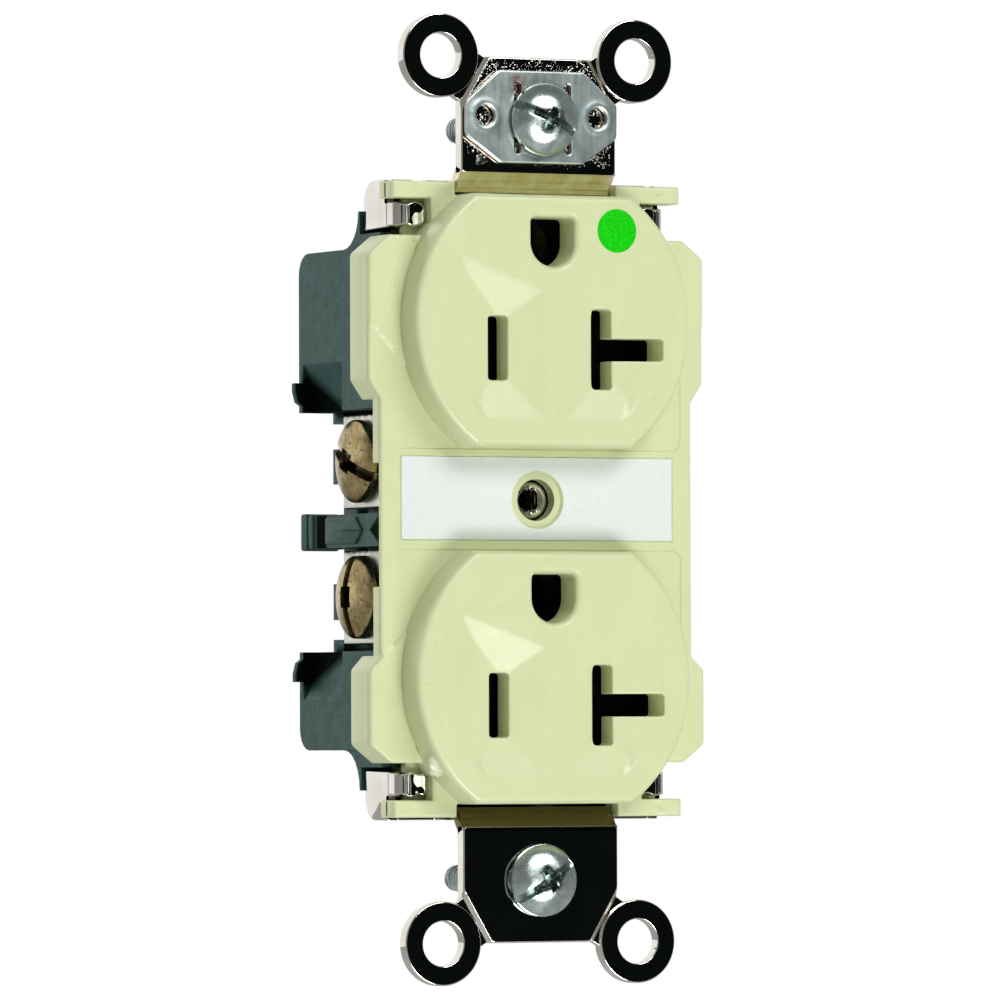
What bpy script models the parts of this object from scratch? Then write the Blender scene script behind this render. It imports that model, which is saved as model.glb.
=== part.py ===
"""Duplex wall outlet: 20 A grounding receptacle, ground pins up, on a crimped mounting strap.

Frame: +X right, +Y into the wall, +Z up. The front faces -Y. The origin is on the axis of
the cover-plate screw, in the plane where the mounting ears rest on the wall.
All named sizes are in millimetres; the mesh helpers turn them into metres.
"""
import bmesh
import bpy
from math import atan2, cos, hypot, pi, radians, sin

MM = 0.001

# Standard interfaces: these drive the rest.
MOUNT_HOLE_Z = 41.67          # half of the 83.34 mm hole spacing
OUTLET_Z = 19.5               # centre of each outlet boss above and below the middle
BLADE_X = 6.35                # half of the 12.7 mm blade spacing
BLADE_DROP = 3.03             # blade row below the boss centre
GROUND_RISE = 8.8             # ground pin above the boss centre
PLAY = 0.35                   # gap between neighbouring pieces

# Strap
STRAP_T = 1.4
TAB_HALF_X = 9.5
TAB_BEND_Z = 36.0
CHAMFER_LOW = (9.5, 43.6)     # where the tab's corner cut starts (x, z)
CHAMFER_TOP = (6.6, 48.5)     # where it ends, on the tab's outer edge
EAR_X = 11.95
EAR_Z = 48.5
EAR_R = 4.6
EAR_HOLE_R = 2.46
SLOT_HALF_X = 3.6
SLOT_R = 2.1
PLATE_FRONT = 6.9             # the strap's inner plate, between face and rear body
PLATE_BACK = PLATE_FRONT + STRAP_T
WEB_IN = 33.65                # inner and outer z of the strap's end webs
WEB_OUT = WEB_IN + STRAP_T
BEND_R = 3.5
BEND_Y = PLATE_BACK - BEND_R
BEND_Z = WEB_OUT - BEND_R
LEG_OUT = 16.7
LEG_IN = LEG_OUT - STRAP_T
LEG_LOW = 29.6
TONGUE_Z = (29.75, 32.5)
TONGUE_TIP_X = 12.95
CROSSBAR_HALF_X = 14.0
CROSSBAR_LOW = 25.5
SPINE_HALF_X = 4.5

# Face
BOSS_FRONT = -5.13
BOSS_R = 16.8
BOSS_FLAT = 13.8
BOSS_WALL = 2.2
FLANGE_FRONT = -0.8
FLANGE_BACK = 1.1
BACKING_BACK = 2.9
BAR_BACK = 2.4
LOBE_X = 20.55
MID_X = 19.13
BAR_X = 17.66
BAR_Z = (32.85, 34.75)
WINDOW_X = 12.9
WINDOW_Z = (28.8, 32.85)
UPPER_LOBE_Z = (10.9, 28.8)
LOWER_LOBE_Z = (-17.1, -28.8)
LOBE_CUT = 2.1
LOBE_BACK = 4.0
SCREW_NOTCH_Z = (-9.6, 3.9)
BAY_WALL_Z = (-16.1, 9.7)     # inner walls that close the wire bays towards the front
LABEL_X = 16.63
LABEL_Z = (-4.4, 4.65)
FINDER_DEPTH = 1.1

# Rear body
BODY_X = 17.1
BODY_FRONT = 8.6
BODY_BACK = 23.9
BODY_WALL = 1.7
UPPER_BOX_Z = (10.1, 27.75)
LOWER_BOX_Z = (-16.5, -27.4)
CORE_X = 11.6
RIB_Z = (-5.0, -1.4)
RIB_X = 16.7
SHOULDER_Z = 31.8

# Terminals
SCREW_Z = (4.5, -10.5)
SCREW_Y = 14.1
TAB_X = 11.9                  # inner surface of the contact's terminal tab
TAB_T = 0.9
PRESSURE_X = TAB_X + TAB_T + 0.3
PRESSURE_T = 1.1
HEAD_X = PRESSURE_X + PRESSURE_T + 0.3
HEAD_R = 4.6
HEAD_H = 2.5
CONTACT_FRONT = 9.0
LEAF_BACK = 18.6
LEAF_T = 0.75
BLADE_HALF_T = 0.9

# Ground terminal on the strap's upper right leg
GROUND_Y = 13.2
GROUND_Z = 31.0

# Assembly screws
ASSEMBLY_X = 9.0
ASSEMBLY_Z = 29.6


# ---------------------------------------------------------------- mesh helpers

def clear_scene():
    for obj in list(bpy.data.objects):
        bpy.data.objects.remove(obj, do_unlink=True)


def material(name, colour, roughness, metallic=0.0):
    mat = bpy.data.materials.get(name)
    if mat is None:
        mat = bpy.data.materials.new(name)
        mat.use_nodes = True
        shader = mat.node_tree.nodes["Principled BSDF"]
        shader.inputs["Base Color"].default_value = (*colour, 1.0)
        shader.inputs["Roughness"].default_value = roughness
        shader.inputs["Metallic"].default_value = metallic
    return mat


def place(axis, u, v, w):
    """A point of an outline (u, v) at depth w along the named axis, in metres."""
    point = {"X": (w, u, v), "Y": (u, w, v), "Z": (u, v, w)}[axis]
    return tuple(MM * value for value in point)


def add_object(name, bm, centre=(0.0, 0.0, 0.0)):
    """Make an object from a bmesh in world metres, with its origin at centre (mm)."""
    bmesh.ops.recalc_face_normals(bm, faces=bm.faces)
    origin = [MM * value for value in centre]
    bmesh.ops.translate(bm, verts=bm.verts, vec=[-value for value in origin])
    mesh = bpy.data.meshes.new(name)
    bm.to_mesh(mesh)
    bm.free()
    obj = bpy.data.objects.new(name, mesh)
    obj.location = origin
    bpy.context.scene.collection.objects.link(obj)
    return obj


def prism(name, outline, low, high, axis="Y", centre=(0.0, 0.0, 0.0), top=None):
    """Extrude a closed outline from low to high; top can give the far outline."""
    bm = bmesh.new()
    near = [bm.verts.new(place(axis, u, v, low)) for u, v in outline]
    far = [bm.verts.new(place(axis, u, v, high)) for u, v in (top or outline)]
    bm.faces.new(near)
    bm.faces.new(list(reversed(far)))
    for i in range(len(near)):
        j = (i + 1) % len(near)
        bm.faces.new((near[i], far[i], far[j], near[j]))
    return add_object(name, bm, centre)


def box(name, x, y, z):
    outline = [(x[0], z[0]), (x[1], z[0]), (x[1], z[1]), (x[0], z[1])]
    return prism(name, outline, y[0], y[1])


def arc(centre, radius, start, end, steps):
    """Points on an arc, angles in degrees, both ends included."""
    points = []
    for i in range(steps + 1):
        angle = radians(start + (end - start) * i / steps)
        points.append((centre[0] + radius * cos(angle), centre[1] + radius * sin(angle)))
    return points


def circle(centre, radius, steps=20):
    return arc(centre, radius, 0, 360 - 360 / steps, steps - 1)


def lathe(name, profile, centre, direction, steps=20):
    """Turn a profile of (radius, distance) about an axis through centre.

    The profile starts and ends at radius 0, or is a closed loop when it has no such ends.
    direction is "+X", "-X", "+Y", "-Y" or "+Z": the way the distances count.
    """
    sign = -1.0 if direction[0] == "-" else 1.0
    axis = direction[1]
    base = {"X": centre[0], "Y": centre[1], "Z": centre[2]}[axis]
    mid = {"X": centre[1:], "Y": (centre[0], centre[2]), "Z": centre[:2]}[axis]
    bm = bmesh.new()
    rings = []
    for radius, distance in profile:
        depth = base + sign * distance
        if radius == 0:
            rings.append([bm.verts.new(place(axis, mid[0], mid[1], depth))])
        else:
            rings.append([bm.verts.new(place(axis, u, v, depth)) for u, v in circle(mid, radius, steps)])
    pairs = list(zip(rings, rings[1:]))
    if profile[0][0] != 0:
        pairs.append((rings[-1], rings[0]))
    for a, b in pairs:
        for i in range(steps):
            j = (i + 1) % steps
            corners = [a[i % len(a)], a[j % len(a)], b[j % len(b)], b[i % len(b)]]
            bm.faces.new(list(dict.fromkeys(corners)))
    obj = add_object(name, bm, centre)
    obj.data.shade_smooth()
    obj.data.set_sharp_from_angle(angle=radians(35))
    return obj


def guide(obj):
    obj.hide_render = True
    obj.display_type = "WIRE"
    return obj


def boolean(target, others, operation):
    """Join or cut with other objects, which become hidden guides."""
    for other in others:
        modifier = target.modifiers.new(operation.lower(), "BOOLEAN")
        modifier.operation = operation
        modifier.solver = "EXACT"
        modifier.object = guide(other)
    return target


def join(target, others):
    return boolean(target, others, "UNION")


def cut(target, others):
    return boolean(target, others, "DIFFERENCE")


def finish(obj, mat, parent=None):
    obj.data.materials.append(mat)
    if parent is not None:
        obj.parent = parent
        obj.matrix_parent_inverse = parent.matrix_world.inverted()
    return obj


def empty(name, centre):
    holder = bpy.data.objects.new(name, None)
    holder.location = [MM * value for value in centre]
    bpy.context.scene.collection.objects.link(holder)
    bpy.context.view_layer.update()
    return holder


# ---------------------------------------------------------------- materials

def ivory():
    return material("ivory_thermoplastic", (0.72, 0.71, 0.46), 0.35)


def black():
    return material("black_thermoplastic", (0.035, 0.04, 0.04), 0.55)


def nickel():
    return material("nickel_plated_steel", (0.62, 0.60, 0.57), 0.15, 1.0)


def zinc():
    return material("zinc_plated_steel", (0.58, 0.62, 0.66), 0.3, 1.0)


def brass():
    return material("brass", (0.56, 0.40, 0.17), 0.35, 1.0)


# ---------------------------------------------------------------- face

def boss_outline(centre_z, radius, flat, steps=14):
    """A circle with its top and bottom cut flat."""
    reach = atan2(flat, (radius ** 2 - flat ** 2) ** 0.5) * 180 / pi
    right = arc((0, centre_z), radius, -reach, reach, steps)
    left = arc((0, centre_z), radius, 180 - reach, 180 + reach, steps)
    return right + left


def flange_outline():
    top_low, top_high = UPPER_LOBE_Z
    low_high, low_low = LOWER_LOBE_Z
    half = [
        (0.0, BOSS_FLAT + OUTLET_Z), (9.9, BOSS_FLAT + OUTLET_Z), (9.9, BAR_Z[1]),
        (BAR_X, BAR_Z[1]), (BAR_X, BAR_Z[0]), (WINDOW_X, BAR_Z[0]), (WINDOW_X, top_high),
        (LOBE_X - 2.5, top_high), (LOBE_X, top_high - 2.0), (LOBE_X, top_low + LOBE_CUT),
        (MID_X, top_low), (MID_X, low_high), (LOBE_X, low_high - 1.5), (LOBE_X, low_low + 2.0),
        (LOBE_X - 2.5, low_low), (WINDOW_X, low_low), (WINDOW_X, -BAR_Z[0]),
        (BAR_X, -BAR_Z[0]), (BAR_X, -BAR_Z[1]), (9.9, -BAR_Z[1]), (9.9, -BOSS_FLAT - OUTLET_Z),
        (0.0, -BOSS_FLAT - OUTLET_Z),
    ]
    return half + [(-x, z) for x, z in reversed(half[1:-1])]


def lobe_skirts():
    """The deep side walls of the four lobes."""
    inner = BODY_X + 0.4
    skirts = []
    for side in (-1, 1):
        for near, far, slope in ((UPPER_LOBE_Z[0], UPPER_LOBE_Z[1], LOBE_CUT),
                                 (LOWER_LOBE_Z[0], LOWER_LOBE_Z[1], 1.5)):
            way = 1 if far > near else -1
            outline = [
                (inner, near), (MID_X, near), (LOBE_X, near + way * slope),
                (LOBE_X, far - way * 2.0), (LOBE_X - 2.5, far), (inner, far),
            ]
            points = [(side * x, z) for x, z in outline]
            skirts.append(prism("skirt_guide", points, FLANGE_FRONT + 0.2, LOBE_BACK))
    return skirts


def end_bars():
    """The four short bars outside the crimp windows."""
    bars = []
    for side in (-1, 1):
        for end in (-1, 1):
            x = sorted((side * 10.2, side * BAR_X))
            z = sorted((end * BAR_Z[0], end * BAR_Z[1]))
            bars.append(box("bar_guide", x, (FLANGE_FRONT + 0.2, BAR_BACK), z))
    return bars


def finder(centre_z, side):
    """The sunk four-sided funnel that leads a blade to its slot."""
    rim = [
        (1.0, 3.4), (11.4, 7.1), (13.2, 3.2), (13.7, 0.0), (12.7, -5.0), (8.2, -11.05), (1.0, -11.05),
    ]
    apex = (BLADE_X, -BLADE_DROP)
    outline = [(side * x, centre_z + z) for x, z in rim]
    tip = [(side * (apex[0] + 0.02 * (x - apex[0])), centre_z + apex[1] + 0.02 * (z - apex[1]))
           for x, z in rim]
    lift = 0.2
    wide = [(side * apex[0] + (x - side * apex[0]) * (1 + lift / FINDER_DEPTH),
             centre_z + apex[1] + (z - centre_z - apex[1]) * (1 + lift / FINDER_DEPTH))
            for x, z in outline]
    return prism("finder_guide", wide, BOSS_FRONT - lift, BOSS_FRONT + FINDER_DEPTH, top=tip)


def outlet_holes(centre_z):
    """Blade slot, T slot and ground hole of one outlet."""
    through = (BOSS_FRONT - 1, BOSS_FRONT + 4)
    row = centre_z - BLADE_DROP
    ground_z = centre_z + GROUND_RISE
    half = 2.67
    ground = arc((0, ground_z - 0.15), half, 180, 360, 8) + [(half, ground_z + 2.5), (-half, ground_z + 2.5)]
    return [
        box("hot_slot_guide", (-BLADE_X - 1.22, -BLADE_X + 1.22), through, (row - 3.52, row + 3.52)),
        box("t_slot_guide", (BLADE_X - 1.24, BLADE_X + 1.24), through, (row - 4.4, row + 4.4)),
        box("t_arm_guide", (BLADE_X, 13.45), through, (row - 1.24, row + 1.24)),
        prism("ground_guide", ground, through[0], through[1]),
    ]


def make_face():
    face = prism("face", flange_outline(), FLANGE_FRONT, FLANGE_BACK)
    backing_z = BOSS_FLAT + OUTLET_Z - 0.1
    added = [box("backing_guide", (-15.0, 15.0), (FLANGE_BACK - 0.2, BACKING_BACK), (-backing_z, backing_z))]
    for centre_z in (OUTLET_Z, -OUTLET_Z):
        outline = boss_outline(centre_z, BOSS_R, BOSS_FLAT)
        added.append(prism("boss_guide", outline, BOSS_FRONT, FLANGE_FRONT + 0.2))
    added += lobe_skirts()
    added += end_bars()
    join(face, added)

    removed = []
    for side in (-1, 1):
        for end in (-1, 1):
            x = sorted((side * WINDOW_X, side * 16.0))
            z = sorted((end * WINDOW_Z[0], end * WINDOW_Z[1]))
            removed.append(box("window_guide", x, (FLANGE_FRONT - 1, 1.75), z))
        notch_x = sorted((side * 17.0, side * (MID_X + 1)))
        removed.append(box("notch_guide", notch_x, (FLANGE_FRONT + 0.4, 3.0), SCREW_NOTCH_Z))
    for centre_z in (OUTLET_Z, -OUTLET_Z):
        cavity = boss_outline(centre_z, BOSS_R - 2.4, BOSS_FLAT - 2.2)
        removed.append(prism("cavity_guide", cavity, BOSS_FRONT + BOSS_WALL, BACKING_BACK + 1))
    cut(face, removed)
    walls = []
    for x, z in assembly_places():
        walls.append(prism("post_guide", circle((x, z), 2.6, 14), FLANGE_BACK, PLATE_FRONT - PLAY))
    for side in (-1, 1):
        x = sorted((side * (CORE_X - 0.2), side * (TAB_X + TAB_T)))
        walls.append(box("bay_wall_guide", x, (BACKING_BACK - 0.2, CONTACT_FRONT - PLAY), BAY_WALL_Z))
    join(face, walls)

    holes = []
    for x, z in assembly_places():
        holes.append(prism("pilot_guide", circle((x, z), 1.6, 12), 2.4, PLATE_FRONT + 1))
    for centre_z in (OUTLET_Z, -OUTLET_Z):
        holes += [finder(centre_z, -1), finder(centre_z, 1)]
        holes += outlet_holes(centre_z)
    holes.append(box("label_guide", (-LABEL_X - 0.15, LABEL_X + 0.15), (FLANGE_FRONT - 1, FLANGE_FRONT + 0.45),
                     (LABEL_Z[0] - 0.15, LABEL_Z[1] + 0.15)))
    holes.append(prism("dot_guide", circle((7.7, 29.5), 2.6), BOSS_FRONT - 1, BOSS_FRONT + 0.45))
    holes.append(lathe("screw_hole_guide", [(0, -2), (3.15, -2), (3.15, 0.3), (2.3, 1.9), (2.3, 6), (0, 6)],
                       (0, FLANGE_FRONT, 0), "+Y", 16))
    cut(face, holes)
    return finish(face, ivory())


def make_label():
    label = box("label", (-LABEL_X, LABEL_X), (FLANGE_FRONT - 0.06, FLANGE_FRONT + 0.14), LABEL_Z)
    hole = prism("label_hole_guide", circle((0, 0), 3.15), FLANGE_FRONT - 1, FLANGE_FRONT + 1)
    cut(label, [hole])
    return finish(label, material("label_paper", (0.86, 0.87, 0.86), 0.6))


def make_grade_dot():
    dot = prism("grade_dot", circle((7.7, 29.5), 2.4, 24), BOSS_FRONT - 0.05, BOSS_FRONT + 0.15)
    return finish(dot, material("green_ink", (0.05, 0.52, 0.12), 0.4))


# ---------------------------------------------------------------- rear body

def box_profile(z_near, z_far):
    """Side outline (y, z) of a terminal box; its far rear corner is round."""
    way = 1 if z_far > z_near else -1
    radius = 2.4
    centre = (BODY_BACK - radius, z_far - way * radius)
    corner = arc(centre, radius, 0, way * 90, 5)
    return [(BODY_FRONT, z_near), (BODY_BACK, z_near)] + corner + [(BODY_FRONT, z_far)]


def shoulder_profile(z_from, way):
    """Concave slope (y, z) from the end of a box down to the strap."""
    rise = SHOULDER_Z - abs(z_from)
    depth = 3.8
    foot = BODY_FRONT + depth
    curve = []
    for i in range(7):
        angle = radians(90 * i / 6)
        y = foot + 0.4 - depth * sin(angle)
        z = z_from + way * rise * (1 - cos(angle))
        curve.append((y, z))
    return [(BODY_FRONT, z_from - way * 1.0), (foot + 0.4, z_from - way * 1.0)] + curve + [
        (BODY_FRONT, z_from + way * rise)]


def corner_lips():
    """Small rear lips where the wire bays begin."""
    lips = []
    for side in (-1, 1):
        for z_near, way in ((UPPER_BOX_Z[0], 1), (LOWER_BOX_Z[0], -1)):
            outer = BODY_X + 0.9
            points = [(side * (BODY_X - 2.0), z_near), (side * (BODY_X - 1.0), z_near),
                      (side * (outer - 0.3), z_near + way * 1.2), (side * outer, z_near + way * 2.4),
                      (side * outer, z_near + way * 3.3), (side * (BODY_X - 2.0), z_near + way * 3.3)]
            lips.append(prism("lip_guide", points, BODY_BACK - 1.1, BODY_BACK - 0.02))
    return lips


def bay_scoops():
    """Finger reliefs that open each box's side towards its wire bay."""
    scoops = []
    for side in (-1, 1):
        for z_near, way in ((UPPER_BOX_Z[0], 1), (LOWER_BOX_Z[0], -1)):
            points = [(side * (BODY_X + 1), z_near - way), (side * (BODY_X - 1.5), z_near - way),
                      (side * (BODY_X - 1.5), z_near + way * 1.0), (side * (BODY_X - 0.7), z_near + way * 3.6),
                      (side * (BODY_X + 0.02), z_near + way * 5.4), (side * (BODY_X + 1), z_near + way * 5.4)]
            scoops.append(prism("scoop_guide", points, 13.0, BODY_BACK - 1.1))
    return scoops


def assembly_places():
    return [(side * ASSEMBLY_X, end * ASSEMBLY_Z) for end in (1, -1) for side in (-1, 1)]


def make_rear_body():
    body = prism("rear_body", box_profile(*UPPER_BOX_Z), -BODY_X, BODY_X, axis="X")
    core_z = (LOWER_BOX_Z[0] - 1.0, UPPER_BOX_Z[0] + 1.0)
    core_front = CONTACT_FRONT + TAB_T + 0.3
    added = [
        prism("lower_box_guide", box_profile(*LOWER_BOX_Z), -BODY_X, BODY_X, axis="X"),
        box("core_guide", (-CORE_X, CORE_X), (core_front, BODY_BACK), core_z),
        prism("shoulder_guide", shoulder_profile(UPPER_BOX_Z[1], 1), -17.0, 17.0, axis="X"),
        prism("shoulder_guide", shoulder_profile(LOWER_BOX_Z[1], -1), -17.0, 17.0, axis="X"),
        box("ground_house_guide", (-6.5, 6.5), (BODY_FRONT, 21.0), (26.5, 32.6)),
    ]
    for side in (-1, 1):
        for low, high in ((UPPER_BOX_Z[0], 29.25), (-29.25, LOWER_BOX_Z[0])):
            x = sorted((side * (CROSSBAR_HALF_X + 0.3), side * BODY_X))
            added.append(box("front_wall_guide", x, (3.3, BODY_FRONT + 1), (low, high)))
        rib_in = TAB_X + TAB_T + 0.35
        x = sorted((side * rib_in, side * RIB_X))
        added.append(box("rib_guide", x, (BACKING_BACK + PLAY, BODY_BACK), RIB_Z))
        x = sorted((side * (CORE_X - 1), side * RIB_X))
        added.append(box("rib_root_guide", x, (12.2, BODY_BACK - 0.01), RIB_Z))
        for z in ((8.9, UPPER_BOX_Z[0] + 0.5), (2.2, 6.1), (-12.9, -8.9), (LOWER_BOX_Z[0] - 0.5, -15.1)):
            x = sorted((side * (CORE_X - 1), side * 12.9))
            added.append(box("fin_guide", x, (BODY_BACK - 2.6, BODY_BACK), z))
    added += corner_lips()
    for x, z in assembly_places():
        added.append(prism("boss_guide", circle((x, z), 2.7, 14), BODY_FRONT, 12.6))
    join(body, added)

    inside = BODY_BACK - BODY_WALL
    removed = [
        box("upper_cavity_guide", (-BODY_X + BODY_WALL, BODY_X - BODY_WALL), (BODY_FRONT - 2, inside),
            (UPPER_BOX_Z[0] + BODY_WALL, UPPER_BOX_Z[1] - BODY_WALL)),
        box("lower_cavity_guide", (-BODY_X + BODY_WALL, BODY_X - BODY_WALL), (BODY_FRONT - 2, inside),
            (LOWER_BOX_Z[1] + 1.1, LOWER_BOX_Z[0] - BODY_WALL)),
        box("middle_cavity_guide", (-CORE_X + 1.6, CORE_X - 1.6), (BODY_FRONT - 2, inside),
            (LOWER_BOX_Z[0] - 3, UPPER_BOX_Z[0] + 3)),
        box("ground_cavity_guide", (-4.7, 4.7), (BODY_FRONT - 2, 19.4), (24.0, 31.2)),
        box("ground_lug_guide", (14.0, 18.0), (BODY_FRONT - 2, 19.0), (UPPER_BOX_Z[1] + 0.3, 33.0)),
        box("ground_shank_guide", (11.9, 18.0), (12.0, 19.0), (UPPER_BOX_Z[1] + 0.02, 33.0)),
    ]
    removed += bay_scoops()
    for side in (-1, 1):
        for z in SCREW_Z:
            x = sorted((side * (CORE_X - 3), side * (CORE_X + 1)))
            removed.append(prism("shank_guide", circle((SCREW_Y, z), 2.9, 12), x[0], x[1], axis="X"))
        middle = (RIB_Z[0] + RIB_Z[1]) / 2
        relief = [(2.0, middle - 3.3), (7.0, middle), (2.0, middle + 3.3)]
        x = sorted((side * 12.0, side * (RIB_X + 1)))
        removed.append(prism("rib_notch_guide", relief, x[0], x[1], axis="X"))
        pass_z = (SCREW_Z[1] - 5.2 - 0.35, SCREW_Z[0] + 5.2 + 0.35)
        x = sorted((side * (CORE_X - 2), side * (TAB_X + TAB_T + 0.3)))
        removed.append(box("strip_pass_guide", x, (BODY_FRONT - 1, core_front), pass_z))
    for x, z in assembly_places():
        removed.append(prism("clear_guide", circle((x, z), 1.6, 12), BODY_FRONT - 1, 14.0))
        removed.append(prism("pocket_guide", circle((x, z), 2.7, 14), 12.6, BODY_BACK + 1))
    cut(body, removed)
    return finish(body, black())


# ---------------------------------------------------------------- strap and clip

def ear_neck(side, end):
    """The bar that joins an ear to the tab's cut corner."""
    along = (CHAMFER_TOP[0] - CHAMFER_LOW[0], CHAMFER_TOP[1] - CHAMFER_LOW[1])
    length = hypot(*along)
    half = 2.84
    step = (along[0] / length * half, along[1] / length * half)
    middle = ((CHAMFER_LOW[0] + CHAMFER_TOP[0]) / 2 - 0.6, (CHAMFER_LOW[1] + CHAMFER_TOP[1]) / 2 - 0.4)
    corners = [(middle[0] - step[0], middle[1] - step[1]), (EAR_X - step[0], EAR_Z - step[1]),
               (EAR_X + step[0], EAR_Z + step[1]), (middle[0] + step[0], middle[1] + step[1])]
    return [(side * x, end * z) for x, z in corners]


def web_profile(end, front_y=None):
    """Side outline (y, z) of the web that steps back from the tab to the inner plate."""
    inner = arc((BEND_Y, BEND_Z), BEND_R - STRAP_T, 90, 0, 4)
    outer = arc((BEND_Y, BEND_Z), BEND_R, 0, 90, 5)
    if front_y is None:
        front = [(-STRAP_T, TAB_BEND_Z + 0.8), (-STRAP_T, TAB_BEND_Z), (0.25, WEB_IN)]
        back = [(1.15, WEB_OUT), (0.0, TAB_BEND_Z + 0.7), (0.0, TAB_BEND_Z + 0.8)]
    else:
        front = [(front_y, WEB_IN)]
        back = [(front_y, WEB_OUT)]
    return [(y, end * z) for y, z in front + inner + outer + back]


def make_strap():
    half = [(0.0, TAB_BEND_Z), (TAB_HALF_X, TAB_BEND_Z), CHAMFER_LOW, CHAMFER_TOP, (0.0, CHAMFER_TOP[1])]
    tab = half + [(-x, z) for x, z in reversed(half[1:-1])]
    strap = prism("mounting_strap", tab, -STRAP_T, 0.0)
    added = [
        prism("lower_tab_guide", [(x, -z) for x, z in tab], -STRAP_T, 0.0),
        box("spine_guide", (-SPINE_HALF_X, SPINE_HALF_X), (PLATE_FRONT, PLATE_BACK), (-CROSSBAR_LOW, CROSSBAR_LOW)),
    ]
    for end in (1, -1):
        z = sorted((end * (CROSSBAR_LOW - 0.1), end * (LEG_LOW + 0.1)))
        added.append(box("crossbar_guide", (-CROSSBAR_HALF_X, CROSSBAR_HALF_X), (PLATE_FRONT, PLATE_BACK), z))
        z = sorted((end * LEG_LOW, end * BEND_Z))
        added.append(box("plate_guide", (-LEG_OUT, LEG_OUT), (PLATE_FRONT, PLATE_BACK), z))
        added.append(prism("web_guide", web_profile(end), -TAB_HALF_X, TAB_HALF_X, axis="X"))
        added.append(prism("wide_web_guide", web_profile(end, 2.8), -LEG_OUT, LEG_OUT, axis="X"))
        for side in (-1, 1):
            added.append(prism("neck_guide", ear_neck(side, end), -STRAP_T, 0.0))
            added.append(prism("ear_guide", circle((side * EAR_X, end * EAR_Z), EAR_R, 28), -STRAP_T, 0.0))
            leg = [(0.0, TONGUE_Z[0]), (0.0, TONGUE_Z[1]), (2.8, TONGUE_Z[1]), (2.8, WEB_OUT)]
            leg += reversed(arc((BEND_Y, BEND_Z), BEND_R, 0, 90, 5))
            leg += [(PLATE_BACK, LEG_LOW)]
            x = sorted((side * LEG_IN, side * LEG_OUT))
            added.append(prism("leg_guide", [(y, end * z) for y, z in leg], x[0], x[1], axis="X"))
            x = sorted((side * TONGUE_TIP_X, side * LEG_OUT))
            z = sorted((end * TONGUE_Z[0], end * TONGUE_Z[1]))
            added.append(box("tongue_guide", x, (0.0, STRAP_T), z))
    lug = [(PLATE_FRONT, LEG_LOW), (PLATE_FRONT, 33.0), (16.6, 33.9), (17.6, 33.0), (17.6, 28.6), (16.8, 28.15),
           (PLATE_BACK + 0.4, 28.15), (PLATE_BACK + 0.4, LEG_LOW)]
    added.append(prism("ground_lug_guide", lug, LEG_IN, LEG_OUT, axis="X"))
    join(strap, added)

    removed = [prism("ground_thread_guide", circle((GROUND_Y, GROUND_Z), 2.25, 14), LEG_IN - 1, LEG_OUT + 1, axis="X"),
               prism("bushing_hole_guide", circle((0, 0), 2.3, 16), PLATE_FRONT - 1, PLATE_BACK + 1)]
    for end in (1, -1):
        slot = arc((SLOT_HALF_X - SLOT_R, end * MOUNT_HOLE_Z), SLOT_R, -90, 90, 8)
        slot += arc((-SLOT_HALF_X + SLOT_R, end * MOUNT_HOLE_Z), SLOT_R, 90, 270, 8)
        removed.append(prism("slot_guide", slot, -STRAP_T - 1, 1.0))
        for side in (-1, 1):
            hole = circle((side * EAR_X, end * EAR_Z), EAR_HOLE_R)
            removed.append(prism("ear_hole_guide", hole, -STRAP_T - 1, 1.0))
    for ground_z, rivet_z in ground_places():
        removed.append(prism("pin_hole_guide", circle((0, ground_z), 2.8), PLATE_FRONT - 1, PLATE_BACK + 1))
        removed.append(prism("rivet_hole_guide", circle((0, rivet_z), 1.5, 12), PLATE_FRONT - 1, PLATE_BACK + 1))
    for x, z in assembly_places():
        removed.append(prism("clear_guide", circle((x, z), 1.7, 12), PLATE_FRONT - 1, PLATE_BACK + 1))
    cut(strap, removed)
    return finish(strap, nickel())


def make_bushing():
    """Threaded bushing that takes the cover-plate screw; it is staked into the strap."""
    profile = [(1.95, 0.8), (1.95, PLATE_FRONT - 1.3), (3.4, PLATE_FRONT - 1.3), (3.4, PLATE_FRONT - 0.35),
              (1.95, PLATE_FRONT - 0.35), (1.95, PLATE_BACK + 0.6), (1.4, PLATE_BACK + 0.6), (1.4, 0.8)]
    return finish(lathe("plate_screw_bushing", profile, (0, 0, 0), "+Y", 20), nickel())


def make_ground_clip():
    """Spring plate under the upper mounting screw that grounds the strap by itself."""
    front = -STRAP_T - 0.3 - 0.6
    half = [(5.0, 36.9), (9.3, 39.8), (9.3, 43.5), (5.2, 47.0)]
    outline = half + [(-x, z) for x, z in reversed(half)]
    clip = prism("ground_clip", outline, front, front + 0.6)
    removed = [prism("clip_hole_guide", circle((0, MOUNT_HOLE_Z), 2.1, 16), front - 1, front + 2)]
    for x in (-6.9, 6.9):
        removed.append(prism("clip_eye_guide", circle((x, 42.0), 1.2, 14), front - 1, front + 2))
    for x in (-2.95, 3.2):
        removed.append(box("clip_slot_guide", (x - 0.5, x + 0.5), (front - 1, front + 2), (37.9, 45.6)))
    cut(clip, removed)
    return finish(clip, zinc())


# ---------------------------------------------------------------- screws

def dome_profile(radius, height, shank_r, length):
    """Screw outline (radius, distance): dome, flat under the head, shank, tip."""
    points = [(0.0, -height)]
    for share in (0.35, 0.65, 0.88):
        points.append((radius * share, -height * (1 - share ** 2) - 0.5 * share ** 2))
    points += [(radius, -0.5), (radius, 0.0), (shank_r, 0.0), (shank_r, length - 0.8), (shank_r - 0.5, length),
               (0.0, length)]
    return points


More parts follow.
